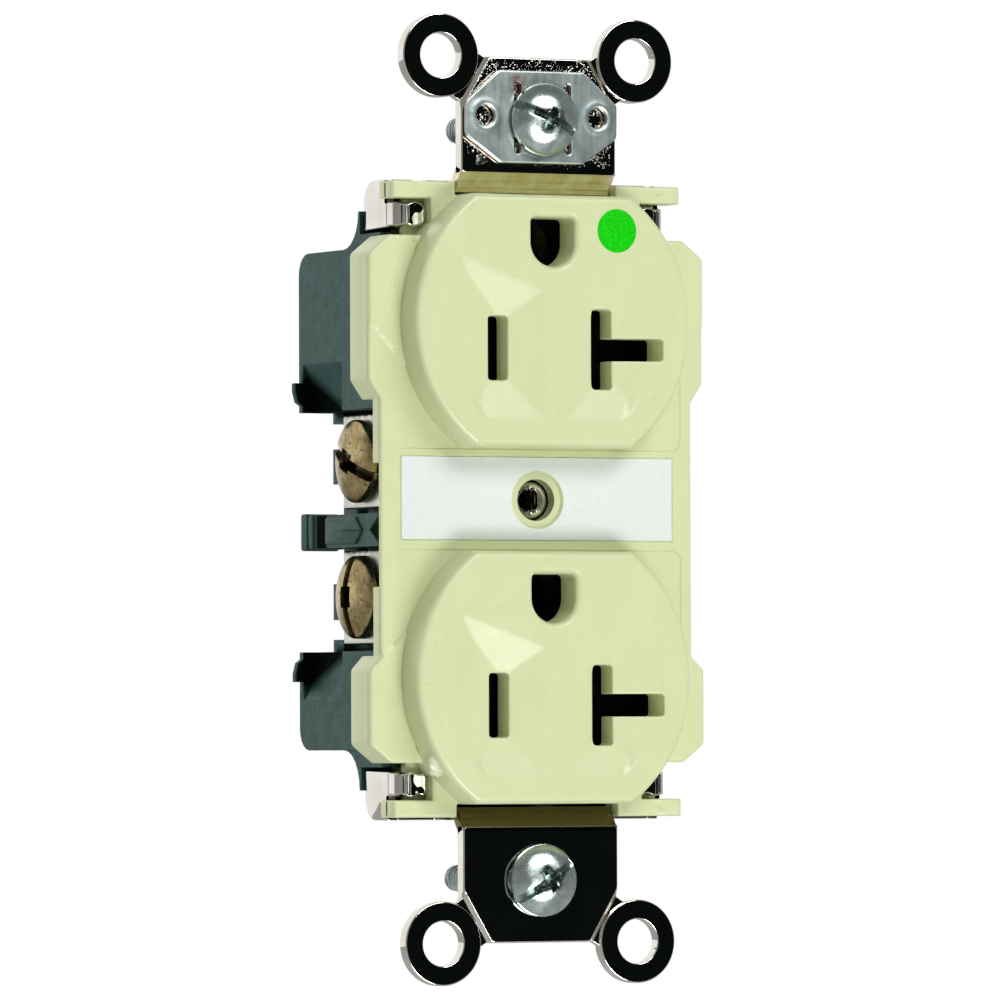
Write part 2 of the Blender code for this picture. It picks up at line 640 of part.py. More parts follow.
def mounting_screw(name, seat_y, z, tilt):
    """Round-head 6-32 screw, 22 mm long, with a combination drive."""
    screw = lathe(name, dome_profile(3.95, 2.2, 1.75, 22.2), (0, seat_y, z), "+Y", 24)
    slot = box("drive_guide", (-5.0, 5.0), (seat_y - 4.0, seat_y - 1.1), (-0.45, 0.45))
    cross = box("cross_guide", (-0.45, 0.45), (seat_y - 4.0, seat_y - 1.0), (-1.7, 1.7))
    for tool in (slot, cross):
        tool.rotation_euler = (0, radians(tilt), 0)
        tool.location = (0, 0, MM * z)
    cut(screw, [slot, cross])
    return screw


def make_mounting_set(name, z, seat_y, tilt):
    """One captive mounting screw with the fibre washer that keeps it in the strap."""
    holder = empty(name + "_axis", (0, seat_y, z))
    screw = mounting_screw("mounting_screw_" + name, seat_y, z, tilt)
    finish(screw, zinc(), holder)
    corner = 4.2
    outline = [(-corner, z - corner), (corner, z - corner), (corner, z + corner), (-corner, z + corner)]
    washer = prism("screw_retainer_" + name, outline, 3.2, 4.0, centre=(0, 3.2, z))
    cut(washer, [prism("retainer_hole_guide", circle((0, z), 1.85, 16), 2.0, 5.0)])
    finish(washer, material("fibre", (0.45, 0.12, 0.07), 0.8), holder)


def terminal_screw(name, side, z, slot_tilt):
    way = "+X" if side < 0 else "-X"
    screw = lathe(name, dome_profile(HEAD_R, HEAD_H, 2.4, 6.4), (side * HEAD_X, SCREW_Y, z), way, 24)
    outer = side * (HEAD_X + HEAD_H + 1)
    x = sorted((side * (HEAD_X + 1.3), outer))
    slot = prism("drive_guide", [(-6.0, -0.5), (6.0, -0.5), (6.0, 0.5), (-6.0, 0.5)], x[0], x[1], axis="X")
    x = sorted((side * (HEAD_X + 0.9), outer))
    square = prism("square_guide", [(-1.3, -1.3), (1.3, -1.3), (1.3, 1.3), (-1.3, 1.3)], x[0], x[1], axis="X")
    for tool in (slot, square):
        tool.rotation_euler = (radians(slot_tilt), 0, 0)
        tool.location = (0, MM * SCREW_Y, MM * z)
    cut(screw, [slot, square])
    return screw


def make_terminal(name, side, z, slot_tilt, mat):
    """A terminal screw and the pressure plate it carries."""
    holder = empty("terminal_axis_" + name, (side * HEAD_X, SCREW_Y, z))
    screw = terminal_screw("terminal_screw_" + name, side, z, slot_tilt)
    finish(screw, mat, holder)
    y = (SCREW_Y - 4.8, SCREW_Y + 4.8)
    outline = [(y[0], z - 5.2), (y[1], z - 5.2), (y[1], z + 5.2), (y[0], z + 5.2)]
    x = sorted((side * PRESSURE_X, side * (PRESSURE_X + PRESSURE_T)))
    centre = (side * PRESSURE_X, SCREW_Y, z)
    plate = prism("pressure_plate_" + name, outline, x[0], x[1], axis="X", centre=centre)
    hole = prism("plate_hole_guide", circle((SCREW_Y, z), 2.6, 16), x[0] - 1, x[1] + 1, axis="X")
    cut(plate, [hole])
    finish(plate, zinc(), holder)


def make_ground_terminal():
    seat_x = LEG_OUT + 0.3 + 0.8 + 0.3
    holder = empty("ground_terminal_axis", (seat_x, GROUND_Y, GROUND_Z))
    hexagon = [(GROUND_Y + 4.04 * cos(radians(60 * i)), GROUND_Z + 4.04 * sin(radians(60 * i))) for i in range(6)]
    screw = prism("ground_screw", hexagon, seat_x, seat_x + 2.4, axis="X", centre=(seat_x, GROUND_Y, GROUND_Z))
    shank = prism("shank_guide", circle((GROUND_Y, GROUND_Z), 2.05, 16), seat_x - 5.6, seat_x + 0.5, axis="X")
    join(screw, [shank])
    slot = prism("drive_guide", [(GROUND_Y - 5, GROUND_Z - 0.45), (GROUND_Y + 5, GROUND_Z - 0.45),
                                 (GROUND_Y + 5, GROUND_Z + 0.45), (GROUND_Y - 5, GROUND_Z + 0.45)],
                 seat_x + 1.3, seat_x + 4, axis="X")
    cut(screw, [slot])
    finish(screw, material("green_plated_steel", (0.06, 0.36, 0.12), 0.35, 0.6), holder)
    x = (LEG_OUT + 0.3, LEG_OUT + 1.1)
    outline = circle((GROUND_Y, GROUND_Z), 2.9, 20)
    clamp = prism("ground_clamp", outline, x[0], x[1], axis="X", centre=(x[0], GROUND_Y, GROUND_Z))
    cut(clamp, [prism("clamp_hole_guide", circle((GROUND_Y, GROUND_Z), 2.3, 14), x[0] - 1, x[1] + 1, axis="X")])
    finish(clamp, zinc(), holder)


def make_assembly_screws():
    names = ("upper_left", "upper_right", "lower_left", "lower_right")
    for name, (x, z) in zip(names, assembly_places()):
        profile = [(0.0, -1.4), (1.6, -1.3), (2.3, -0.8), (2.3, 0.0), (1.2, 0.0), (1.2, 8.4), (0.6, 9.4), (0.0, 9.4)]
        screw = lathe("assembly_screw_" + name, profile, (x, 12.9, z), "-Y", 16)
        tool = box("drive_guide", (x - 3, x + 3), (13.6, 15.0), (z - 0.35, z + 0.35))
        cut(screw, [tool])
        finish(screw, zinc())


# ---------------------------------------------------------------- contacts

def leaf_pair(side, row_z):
    """The U-shaped pair of spring leaves that grips an upright blade."""
    low, high = row_z - 3.3, row_z + 3.3
    inner = BLADE_X - BLADE_HALF_T
    outer = BLADE_X + BLADE_HALF_T
    parts = []
    for x0, x1, y0 in ((inner - LEAF_T, inner, CONTACT_FRONT + 0.8), (outer, outer + LEAF_T, CONTACT_FRONT),
                       (inner - LEAF_T, outer + LEAF_T, LEAF_BACK - 0.8)):
        x = sorted((side * x0, side * x1))
        parts.append(box("leaf_guide", x, (y0, LEAF_BACK), (low, high)))
    return parts


def cross_leaves(side, row_z):
    """The extra leaves behind the T slot's arm."""
    start = BLADE_X + BLADE_HALF_T + 0.1
    parts = []
    for z0, z1, y0 in ((0.9, 1.6, CONTACT_FRONT), (-1.6, -0.9, CONTACT_FRONT), (-1.6, 1.6, LEAF_BACK - 0.8)):
        x = sorted((side * start, side * 13.3))
        parts.append(box("cross_leaf_guide", x, (y0, LEAF_BACK), (row_z + z0, row_z + z1)))
    return parts


def make_contact(name, side, has_cross):
    """One brass strip: two blade grips, two terminal tabs and the break-off link between them."""
    strip_in = BLADE_X + BLADE_HALF_T
    rows = (OUTLET_Z - BLADE_DROP, -OUTLET_Z - BLADE_DROP)
    x = sorted((side * strip_in, side * (strip_in + LEAF_T)))
    contact = box(name, x, (CONTACT_FRONT, 12.0), (rows[1] - 3.3, rows[0] + 3.3))
    added = []
    for z in SCREW_Z:
        x = sorted((side * TAB_X, side * (TAB_X + TAB_T)))
        added.append(box("tab_guide", x, (CONTACT_FRONT, SCREW_Y + 4.8), (z - 5.2, z + 5.2)))
        x = sorted((side * strip_in, side * (TAB_X + TAB_T)))
        added.append(box("bridge_guide", x, (CONTACT_FRONT, CONTACT_FRONT + TAB_T), (z - 4.6, z + 4.6)))
    x = sorted((side * TAB_X, side * (TAB_X + TAB_T)))
    added.append(box("link_guide", x, (CONTACT_FRONT, 11.6), (RIB_Z[0] - 1.0, RIB_Z[1] + 1.0)))
    for row_z in rows:
        added += leaf_pair(side, row_z)
        if has_cross:
            added += cross_leaves(side, row_z)
    join(contact, added)
    removed = []
    for z in SCREW_Z:
        x = sorted((side * (TAB_X - 1), side * (TAB_X + TAB_T + 1)))
        removed.append(prism("thread_guide", circle((SCREW_Y, z), 2.55, 14), x[0], x[1], axis="X"))
    if has_cross:
        for row_z in rows:
            x = sorted((side * (strip_in - 0.2), side * (strip_in + LEAF_T + 0.4)))
            removed.append(box("blade_way_guide", x, (CONTACT_FRONT - 1, LEAF_BACK - 0.8), (row_z - 0.9, row_z + 0.9)))
    cut(contact, removed)
    return finish(contact, brass())


def ground_places():
    """Pin centre and rivet centre (z) of the upper and lower ground contact."""
    upper = OUTLET_Z + GROUND_RISE
    lower = -OUTLET_Z + GROUND_RISE
    return [(upper, 22.8), (lower, lower - 5.4)]


def make_ground_contacts():
    for name, (pin_z, rivet_z) in zip(("upper", "lower"), ground_places()):
        front = PLATE_BACK + 0.3
        low, high = rivet_z - 1.9, pin_z + 2.8
        contact = box("ground_contact_" + name, (-3.1, 3.1), (front, front + 0.7), (low, high))
        leaves = []
        for side in (-1, 1):
            x = sorted((side * 2.4, side * 3.1))
            leaves.append(box("leaf_guide", x, (front, 18.8), (pin_z - 2.4, pin_z + 2.6)))
        join(contact, leaves)
        cut(contact, [prism("pin_guide", circle((0, pin_z), 2.4), front - 1, front + 1.5),
                      prism("rivet_hole_guide", circle((0, rivet_z), 1.2, 12), front - 1, front + 1.5)])
        finish(contact, brass())
        profile = [(0.0, PLATE_FRONT - 0.9), (1.2, PLATE_FRONT - 0.8), (1.8, PLATE_FRONT - 0.3), (0.9, PLATE_FRONT - 0.3),
                   (0.9, front + 1.0), (1.8, front + 1.0), (1.2, front + 1.5), (0.0, front + 1.6)]
        rivet = lathe("ground_rivet_" + name, profile, (0, 0, rivet_z), "+Y", 14)
        finish(rivet, zinc())


# ---------------------------------------------------------------- assembly

clear_scene()
make_face()
make_label()
make_grade_dot()
make_rear_body()
make_strap()
make_bushing()
make_ground_clip()
make_mounting_set("upper", MOUNT_HOLE_Z, -STRAP_T - 1.2, 27)
make_mounting_set("lower", -MOUNT_HOLE_Z, -STRAP_T - 0.3, -32)
make_contact("hot_contact", -1, False)
make_contact("neutral_contact", 1, True)
make_ground_contacts()
silver = material("nickel_plated_brass", (0.70, 0.68, 0.62), 0.3, 1.0)
make_terminal("hot_upper", -1, SCREW_Z[0], -35, brass())
make_terminal("hot_lower", -1, SCREW_Z[1], 88, brass())
make_terminal("neutral_upper", 1, SCREW_Z[0], 20, silver)
make_terminal("neutral_lower", 1, SCREW_Z[1], -60, silver)
make_ground_terminal()
make_assembly_screws()
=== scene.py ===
"""Looks of the duplex wall outlet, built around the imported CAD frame.

Sizes are in millimetres in the CAD frame, in the materials too: +X right, +Y into the wall,
+Z up, and the front faces -Y. Only the studio is in metres.
"""
from math import asin, atan2, cos, degrees, hypot, pi, radians, sin, tan

import bmesh
import bpy
import numpy as np
from mathutils import Matrix, Vector
from mathutils.geometry import delaunay_2d_cdt
from mathutils.kdtree import KDTree


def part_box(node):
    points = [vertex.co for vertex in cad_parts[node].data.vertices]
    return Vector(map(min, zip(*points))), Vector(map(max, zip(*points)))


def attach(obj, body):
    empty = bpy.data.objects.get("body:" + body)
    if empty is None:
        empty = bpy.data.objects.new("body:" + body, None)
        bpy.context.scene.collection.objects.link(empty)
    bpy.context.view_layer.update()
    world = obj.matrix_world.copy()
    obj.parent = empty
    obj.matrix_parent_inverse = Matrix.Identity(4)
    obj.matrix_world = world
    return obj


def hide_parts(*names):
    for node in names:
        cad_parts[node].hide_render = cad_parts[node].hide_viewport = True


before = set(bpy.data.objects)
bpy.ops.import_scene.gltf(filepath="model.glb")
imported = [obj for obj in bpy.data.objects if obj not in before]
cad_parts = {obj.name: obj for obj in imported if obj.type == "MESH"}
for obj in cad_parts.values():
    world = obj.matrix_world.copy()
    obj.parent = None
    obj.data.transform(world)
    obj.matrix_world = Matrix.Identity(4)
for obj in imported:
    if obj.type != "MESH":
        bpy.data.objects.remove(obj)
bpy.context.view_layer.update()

MM = 0.001


def node_box(node):
    """Lowest and highest corner of a CAD node, in millimetres."""
    low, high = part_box(node)
    return [value / MM for value in low], [value / MM for value in high]


# ---------------------------------------------------------------- sizes read from the frame

FACE_LOW, FACE_HIGH = node_box("face")
LABEL_LOW, LABEL_HIGH = node_box("label")
DOT_LOW, DOT_HIGH = node_box("grade_dot")

BOSS_FRONT = FACE_LOW[1]
LOBE_X = FACE_HIGH[0]
BAR_TOP = FACE_HIGH[2]

# ---------------------------------------------------------------- proportions, as in the CAD model

OUTLET_Z = 19.5
BOSS_R = 16.8
BOSS_FLAT = 13.8
BLADE_X = 6.35
BLADE_DROP = 3.03
GROUND_RISE = 8.65
FLANGE_FRONT = -0.8
FLANGE_BACK = 1.1
LOBE_BACK = 4.0
MID_X = 19.13
BAR_X = 17.66
BAR_LOW = 32.85
WINDOW_X = 12.9
SCREW_NOTCH = (-9.6, 3.9)
WINDOW_LOW = 28.8
FINDER_DEPTH = 1.2
BOSS_DEEP = 3.9
BOSS_WALL = 2.4
PANEL_X = 17.78
PANEL_Z = 5.5
LABEL_MARGIN = 0.12

STRAP_T = 1.4
TAB_X = 9.5
BEND_TOP = 36.0
CHAMFER = (Vector((TAB_X, 43.6)), Vector((6.6, 48.5)))
CHAMFER_WAY = (CHAMFER[1] - CHAMFER[0]).normalized()
EAR = Vector((11.95, 48.5))
EAR_R = 4.6
EAR_HOLE_R = 2.46
MOUNT_Z = 41.67
PLATE_Y = (6.9, 8.3)
WEB_Z = (33.65, 35.05)
LEG_X = (15.3, 16.7)
LEG_LOW = 29.6
TONGUE_Z = (29.75, 32.5)
ASSEMBLY = (9.0, 29.6)
CLIP_EYE = (6.9, 42.0)

TERMINAL_X = 14.5
TERMINAL_Y = 14.1
TERMINAL_Z = (4.5, -10.5)
THREAD_PITCH = 0.794


# ---------------------------------------------------------------- outline helpers

def arc(centre, radius, start, end, steps):
    """Points on an arc, angles in degrees, both ends included."""
    points = []
    for i in range(steps + 1):
        angle = radians(start + (end - start) * i / steps)
        points.append((centre[0] + radius * cos(angle), centre[1] + radius * sin(angle)))
    return points


def circle(centre, radius, steps):
    return arc(centre, radius, 0, 360 - 360 / steps, steps - 1)


def rounded(corners, radius, steps=5):
    """Round the corners of a closed outline; a corner may carry its own radius as (u, v, r)."""
    points = []
    count = len(corners)
    for i in range(count):
        before, here, after = corners[i - 1], corners[i], corners[(i + 1) % count]
        own = here[2] if len(here) > 2 else radius
        a = Vector(here[:2])
        to_before = (Vector(before[:2]) - a)
        to_after = (Vector(after[:2]) - a)
        half = to_before.angle(to_after) / 2
        reach = min(own / tan(half), to_before.length * 0.45, to_after.length * 0.45) if own > 0 else 0
        if reach < 1e-4 or abs(half - pi / 2) < 1e-3:
            points.append(tuple(a))
            continue
        own = reach * tan(half)
        start = a + to_before.normalized() * reach
        stop = a + to_after.normalized() * reach
        centre = a + (to_before.normalized() + to_after.normalized()).normalized() * (own / sin(half))
        first = atan2(start.y - centre.y, start.x - centre.x)
        turn = atan2(stop.y - centre.y, stop.x - centre.x) - first
        turn = (turn + pi) % (2 * pi) - pi
        for k in range(steps + 1):
            angle = first + turn * k / steps
            points.append((centre.x + own * cos(angle), centre.y + own * sin(angle)))
    return points


def resample(outline, spacing):
    """Add points along the long sides of a closed outline."""
    points = []
    for i, here in enumerate(outline):
        after = outline[(i + 1) % len(outline)]
        length = hypot(after[0] - here[0], after[1] - here[1])
        pieces = max(1, int(round(length / spacing)))
        for k in range(pieces):
            t = k / pieces
            points.append((here[0] + (after[0] - here[0]) * t, here[1] + (after[1] - here[1]) * t))
    return points


def counter_clockwise(outline):
    area = sum(a[0] * b[1] - b[0] * a[1] for a, b in zip(outline, outline[1:] + outline[:1]))
    return outline if area > 0 else outline[::-1]


def inset(outline, distance):
    """Move a counter-clockwise outline inwards by a small distance."""
    points = []
    count = len(outline)
    for i in range(count):
        before, here, after = (Vector(outline[j][:2]) for j in (i - 1, i, (i + 1) % count))
        first = (here - before).normalized()
        second = (after - here).normalized()
        normal = Vector((-first.y - second.y, first.x + second.x))
        if normal.length < 1e-6:
            normal = Vector((-first.y, first.x))
        normal.normalize()
        scale = max(0.4, normal.dot(Vector((-first.y, first.x))))
        points.append(tuple(here + normal * distance / scale))
    return points


def inside(points, outline):
    """Which points (n x 2 array) lie inside an outline."""
    loop = np.array(outline)
    nxt = np.roll(loop, -1, axis=0)
    result = np.zeros(len(points), bool)
    for (x0, y0), (x1, y1) in zip(loop, nxt):
        crosses = (y0 > points[:, 1]) != (y1 > points[:, 1])
        if y1 != y0:
            at = (x1 - x0) * (points[:, 1] - y0) / (y1 - y0) + x0
            result ^= crosses & (points[:, 0] < at)
    return result


def edge_distance(points, outline):
    """Distance from each point to the nearest side of a closed outline."""
    loop = np.array(outline)
    nxt = np.roll(loop, -1, axis=0)
    best = np.full(len(points), 1e9)
    for start, stop in zip(loop, nxt):
        side = stop - start
        t = np.clip(((points - start) @ side) / max(side @ side, 1e-12), 0, 1)
        gap = points - (start + t[:, None] * side)
        best = np.minimum(best, np.hypot(gap[:, 0], gap[:, 1]))
    return best


def rectangle(low_u, high_u, low_v, high_v):
    return [(low_u, low_v), (high_u, low_v), (high_u, high_v), (low_u, high_v)]


def flipped(points, u_sign=1, v_sign=1):
    """An outline with its signs changed; a corner keeps its own radius."""
    return [(u_sign * p[0], v_sign * p[1], *p[2:]) for p in points]


def mirrored(half):
    """A whole outline from its right half."""
    return half + flipped(reversed(half), -1)


def within(points, outline, holes):
    """Which points lie inside an outline and outside its holes."""
    result = inside(points, outline)
    for hole in holes:
        result &= ~inside(points, hole)
    return result


def nearest_edge(points, loops):
    """Distance from each point to the nearest of several outlines."""
    return np.min([edge_distance(points, loop) for loop in loops], axis=0)


def lattice(outline, spacing):
    """Points in staggered rows over an outline's extent."""
    low, high = np.min(outline, axis=0), np.max(outline, axis=0)
    across = np.arange(low[0] + spacing * 0.37, high[0], spacing)
    up = np.arange(low[1] + spacing * 0.37, high[1], spacing * 0.866)
    return np.array([(u + spacing / 2 * (row % 2), v) for row, v in enumerate(up) for u in across])


def far_from(points, others, distance):
    """The points that have none of the others within a distance."""
    tree = KDTree(len(others))
    for index, point in enumerate(others):
        tree.insert((point[0], point[1], 0), index)
    tree.balance()
    return points[[tree.find((point[0], point[1], 0))[2] > distance for point in points]]


def triangulate(points, edges, outline, holes):
    """Triangles over a flat shape: their corners, the faces, and where each given point went."""
    result = delaunay_2d_cdt([Vector(p) for p in points], edges, [], 0, 1e-7)
    flat = np.array([p[:] for p in result[0]])
    faces = np.array(result[2])
    faces = faces[within(flat[faces].mean(1), outline, holes)]
    went = {old: new for new, olds in enumerate(result[3]) for old in olds}
    return flat, faces.tolist(), went


def level(depth):
    """A flat front for Builder.plate."""
    return lambda points: np.full(len(points), depth)


def rounding(distance, radius):
    """Fall-off of a rounded edge at a given distance inside it."""
    d = np.clip(radius - distance, 0, radius)
    return radius - np.sqrt(np.clip(radius ** 2 - d ** 2, 0, None))


def eased(points, radius, *loops):
    """Fall-off of the rounded edges along some outlines."""
    return sum(rounding(edge_distance(points, loop), radius) for loop in loops)


# ---------------------------------------------------------------- mesh helpers

def place(axis, u, v, w):
    """A point of an outline (u, v) at depth w along the named axis."""
    return {"X": (w, u, v), "Y": (u, w, v), "Z": (u, v, w)}[axis]


class Builder:
    """Collects closed shells, in millimetres, for one piece."""

    def __init__(self):
        self.verts = []
        self.faces = []

    def add(self, verts, faces):
        start = len(self.verts)
        self.verts += [tuple(v) for v in verts]
        self.faces += [tuple(start + i for i in face) for face in faces]

    def shell(self, verts, faces):
        """Add a closed shell after turning its faces outward."""
        bm = bmesh.new()
        made = [bm.verts.new(v) for v in verts]
        for face in faces:
            corners = list(dict.fromkeys(face))
            if len(corners) > 2:
                bm.faces.new([made[i] for i in corners])
        bmesh.ops.recalc_face_normals(bm, faces=bm.faces)
        bm.verts.index_update()
        self.add([v.co[:] for v in bm.verts], [[v.index for v in f.verts] for f in bm.faces])
        bm.free()

    def loft(self, rings, closed=False):
        """Join rings of equal length; the ends are capped unless the rings close on themselves."""
        count = len(rings[0])
        verts = [p for ring in rings for p in ring]
        faces = []
        last = len(rings) if closed else len(rings) - 1
        for r in range(last):
            s = (r + 1) % len(rings)
            for i in range(count):
                j = (i + 1) % count
                faces.append((r * count + i, r * count + j, s * count + j, s * count + i))
        if not closed:
            faces.append(tuple(range(count)))
            faces.append(tuple((len(rings) - 1) * count + i for i in range(count)))
        self.shell(verts, faces)

    def prism(self, outline, low, high, axis="Y", round_low=0.0, round_high=0.0, steps=4):
        """Extrude an outline, with rounded edges at either end."""
        outline = counter_clockwise([tuple(p[:2]) for p in outline])
        quarter = [pi / 2 * k / steps for k in range(steps + 1)]
        levels = [(low, 0.0)]
        if round_low > 0:
            levels = [(low + round_low * (1 - cos(a)), round_low * (1 - sin(a))) for a in quarter]
        if round_high > 0:
            levels += [(high - round_high * (1 - sin(a)), round_high * (1 - cos(a))) for a in quarter]
        else:
            levels.append((high, 0.0))
        rings = []
        for depth, distance in levels:
            loop = inset(outline, distance) if distance > 0 else outline
            rings.append([place(axis, u, v, depth) for u, v in loop])
        self.loft(rings)

    def tube(self, outer, inner, low, high, axis="Y"):
        """A closed wall between two outlines with the same number of points."""
        rings = [[place(axis, u, v, depth) for u, v in loop]
                 for loop, depth in ((outer, low), (outer, high), (inner, high), (inner, low))]
        self.loft(rings, closed=True)

    def box(self, x, y, z, edge=0.0):
        outline = rectangle(*x, *z)
        if edge > 0:
            outline = rounded(outline, edge, 3)
        self.prism(outline, y[0], y[1], "Y", edge, edge, 3)

    def lathe(self, profile, centre, direction, steps=64):
        """Turn a profile of (radius, distance) about an axis; a closed profile needs no zero radius."""
        sign = -1.0 if direction[0] == "-" else 1.0
        axis = direction[1]
        base = {"X": centre[0], "Y": centre[1], "Z": centre[2]}[axis]
        mid = {"X": centre[1:], "Y": (centre[0], centre[2]), "Z": centre[:2]}[axis]
        rings = []
        for radius, distance in profile:
            ring = circle(mid, max(radius, 0.004), steps)
            rings.append([place(axis, u, v, base + sign * distance) for u, v in ring])
        self.loft(rings, closed=profile[0][0] > 0.01)

    def plate(self, outline, holes, spacing, front, back, rings=(), axis="Y", warp=None, marks=()):
        """A closed plate whose front is a height field.

        front(points) gives the depth of the front at each (u, v) point; back is the depth of
        the flat back. rings are distances from the edges at which extra points are laid, so
        that rounded edges come out smooth. marks are extra points that lie along creases.
        warp moves every (u, v, depth) point to its place.
        """
        outline = counter_clockwise(outline)
        holes = [counter_clockwise(hole) for hole in holes]
        loops = [outline] + holes
        grid = lattice(outline, spacing)
        grid = grid[within(grid, outline, holes)]
        grid = grid[nearest_edge(grid, loops) > max(rings, default=0.0) + spacing * 0.45]
        extra = []
        if len(marks):
            creases = np.array(marks)
            fits = within(creases, outline, holes)
            creases = creases[fits & (nearest_edge(creases, loops) > 0.05)]
            extra.append(creases)
            grid = far_from(grid, creases, spacing * 0.45)
        extra.append(grid)
        for distance in rings:
            ring = inset(outline, distance)
            for hole in holes:
                ring += inset(hole, -distance)
            ring = np.array(ring)
            fits = within(ring, outline, holes)
            extra.append(ring[fits & (nearest_edge(ring, loops) > distance * 0.93)])
        rim = [tuple(p) for loop in loops for p in loop]
        edges = []
        for loop in loops:
            start = len(edges)
            edges += [(start + i, start + (i + 1) % len(loop)) for i in range(len(loop))]
        points = rim + [tuple(p) for block in extra for p in block]
        flat, front_faces, went = triangulate(points, edges, outline, holes)
        back_flat, back_faces, back_went = triangulate(rim, edges, outline, holes)
        verts = [(u, v, depth) for (u, v), depth in zip(flat, front(flat))]
        shift = len(verts)
        verts += [(u, v, back) for u, v in back_flat]
        faces = [face[::-1] for face in front_faces]
        faces += [[shift + i for i in face] for face in back_faces]
        for a, b in edges:
            faces.append((went[a], went[b], shift + back_went[b], shift + back_went[a]))
        verts = [warp(*v) if warp else place(axis, *v) for v in verts]
        used = sorted({i for face in faces for i in face})
        lookup = {old: new for new, old in enumerate(used)}
        self.shell([verts[i] for i in used], [[lookup[i] for i in face] for face in faces])

    def object(self, name, material, angle=32.0):
        mesh = bpy.data.meshes.new(name)
        mesh.from_pydata([[MM * c for c in v] for v in self.verts], [], self.faces)
        mesh.update()
        mesh.shade_smooth()
        mesh.set_sharp_from_angle(angle=radians(angle))
        mesh.materials.append(material)
        obj = bpy.data.objects.new(name, mesh)
        bpy.context.scene.collection.objects.link(obj)
        return obj


def present(obj, body, slot, *nodes):
    """Tie a finished piece to its CAD body and hide the nodes it stands for; the slot is not used."""
    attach(obj, body)
    if nodes:
        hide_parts(*nodes)
    return obj



# ---------------------------------------------------------------- materials

class Shader:
    """A Principled material with short calls for the nodes that feed it."""

    def __init__(self, name, metallic=0.0, ior=1.5):
        self.material = bpy.data.materials.new(name)
        self.material.use_nodes = True
        self.tree = self.material.node_tree
        self.shader = self.tree.nodes["Principled BSDF"]
        self.where = self.node("ShaderNodeTexCoord").outputs["Object"]
        self.set(Metallic=metallic, IOR=ior)

    def node(self, kind, **settings):
        made = self.tree.nodes.new(kind)
        for key, value in settings.items():
            setattr(made, key, value)
        return made

    def link(self, source, target):
        self.tree.links.new(source, target)

    def set(self, **values):
        """Fixed values for the shader's inputs, with _ for the spaces in their names."""
        for key, value in values.items():
            self.shader.inputs[key.replace("_", " ")].default_value = value

    def feed(self, **sources):
        """Outputs that drive the shader's inputs, named in the same way."""
        for key, source in sources.items():
            self.link(source, self.shader.inputs[key.replace("_", " ")])

    def stretched(self, scale):
        """Object coordinates in millimetres, stretched by scale."""
        mapping = self.node("ShaderNodeMapping")
        mapping.inputs["Scale"].default_value = [s / MM for s in scale]
        self.link(self.where, mapping.inputs["Vector"])
        return mapping.outputs["Vector"]

    def axes(self):
        """Object coordinates x, y and z in millimetres."""
        parts = self.node("ShaderNodeSeparateXYZ")
        self.link(self.stretched((1, 1, 1)), parts.inputs[0])
        return tuple(parts.outputs)

    def noise(self, size, detail=3.0, roughness=0.55, stretch=(1, 1, 1)):
        """Noise whose features are about size millimetres across."""
        made = self.node("ShaderNodeTexNoise")
        made.inputs["Scale"].default_value = 1.0 / size
        made.inputs["Detail"].default_value = detail
        made.inputs["Roughness"].default_value = roughness
        self.link(self.stretched(stretch), made.inputs["Vector"])
        return made.outputs["Fac"]

    def ramp(self, source, low, high, start, stop):
        """Map source from low..high onto start..stop."""
        made = self.node("ShaderNodeMapRange")
        made.inputs["From Min"].default_value = low
        made.inputs["From Max"].default_value = high
        made.inputs["To Min"].default_value = start
        made.inputs["To Max"].default_value = stop
        self.link(source, made.inputs["Value"])
        return made.outputs["Result"]

    def rise(self, source, low, high):
        """0 below low and 1 above high."""
        return self.ramp(source, low, high, 0.0, 1.0)

    def fall(self, source, low, high):
        """1 below low and 0 above high."""
        return self.ramp(source, low, high, 1.0, 0.0)

    def grain(self, noise, low, high):
        """A noise spread over low..high."""
        return self.ramp(noise, 0.3, 0.7, low, high)

    def blend(self, factor, first, second):
        """Mix two colours by a factor."""
        made = self.node("ShaderNodeMix", data_type="RGBA")
        for socket, value in ((made.inputs[6], first), (made.inputs[7], second)):
            if isinstance(value, tuple):
                socket.default_value = (*value, 1.0)
            else:
                self.link(value, socket)
        self.link(factor, made.inputs[0])
        return made.outputs[2]

    def mottled(self, noise, dark, light, low=0.35, high=0.65):
        """Two colours mixed in the clouds of a noise."""
        return self.blend(self.rise(noise, low, high), dark, light)

    def maths(self, operation, first, *others):
        """A sum or product of values, or a function of one."""
        for other in others or (0.0,):
            made = self.node("ShaderNodeMath", operation=operation)
            for socket, value in zip(made.inputs, (first, other)):
                if isinstance(value, (int, float)):
                    socket.default_value = value
                else:
                    self.link(value, socket)
            first = made.outputs[0]
        return first

    def times(self, *values):
        return self.maths("MULTIPLY", *values)

    def plus(self, *values):
        return self.maths("ADD", *values)

    def minus(self, first, second):
        return self.maths("SUBTRACT", first, second)

    def positive(self, value):
        return self.maths("ABSOLUTE", value)

    def square(self, first, second):
        """The sum of two squares."""
        return self.plus(self.times(first, first), self.times(second, second))

    def bump(self, source, height, previous=None):
        """Bump of the given height in millimetres."""
        made = self.node("ShaderNodeBump")
        made.inputs["Strength"].default_value = 1.0
        made.inputs["Distance"].default_value = height * MM
        self.link(source, made.inputs["Height"])
        if previous is not None:
            self.link(previous, made.inputs["Normal"])
        return made.outputs["Normal"]


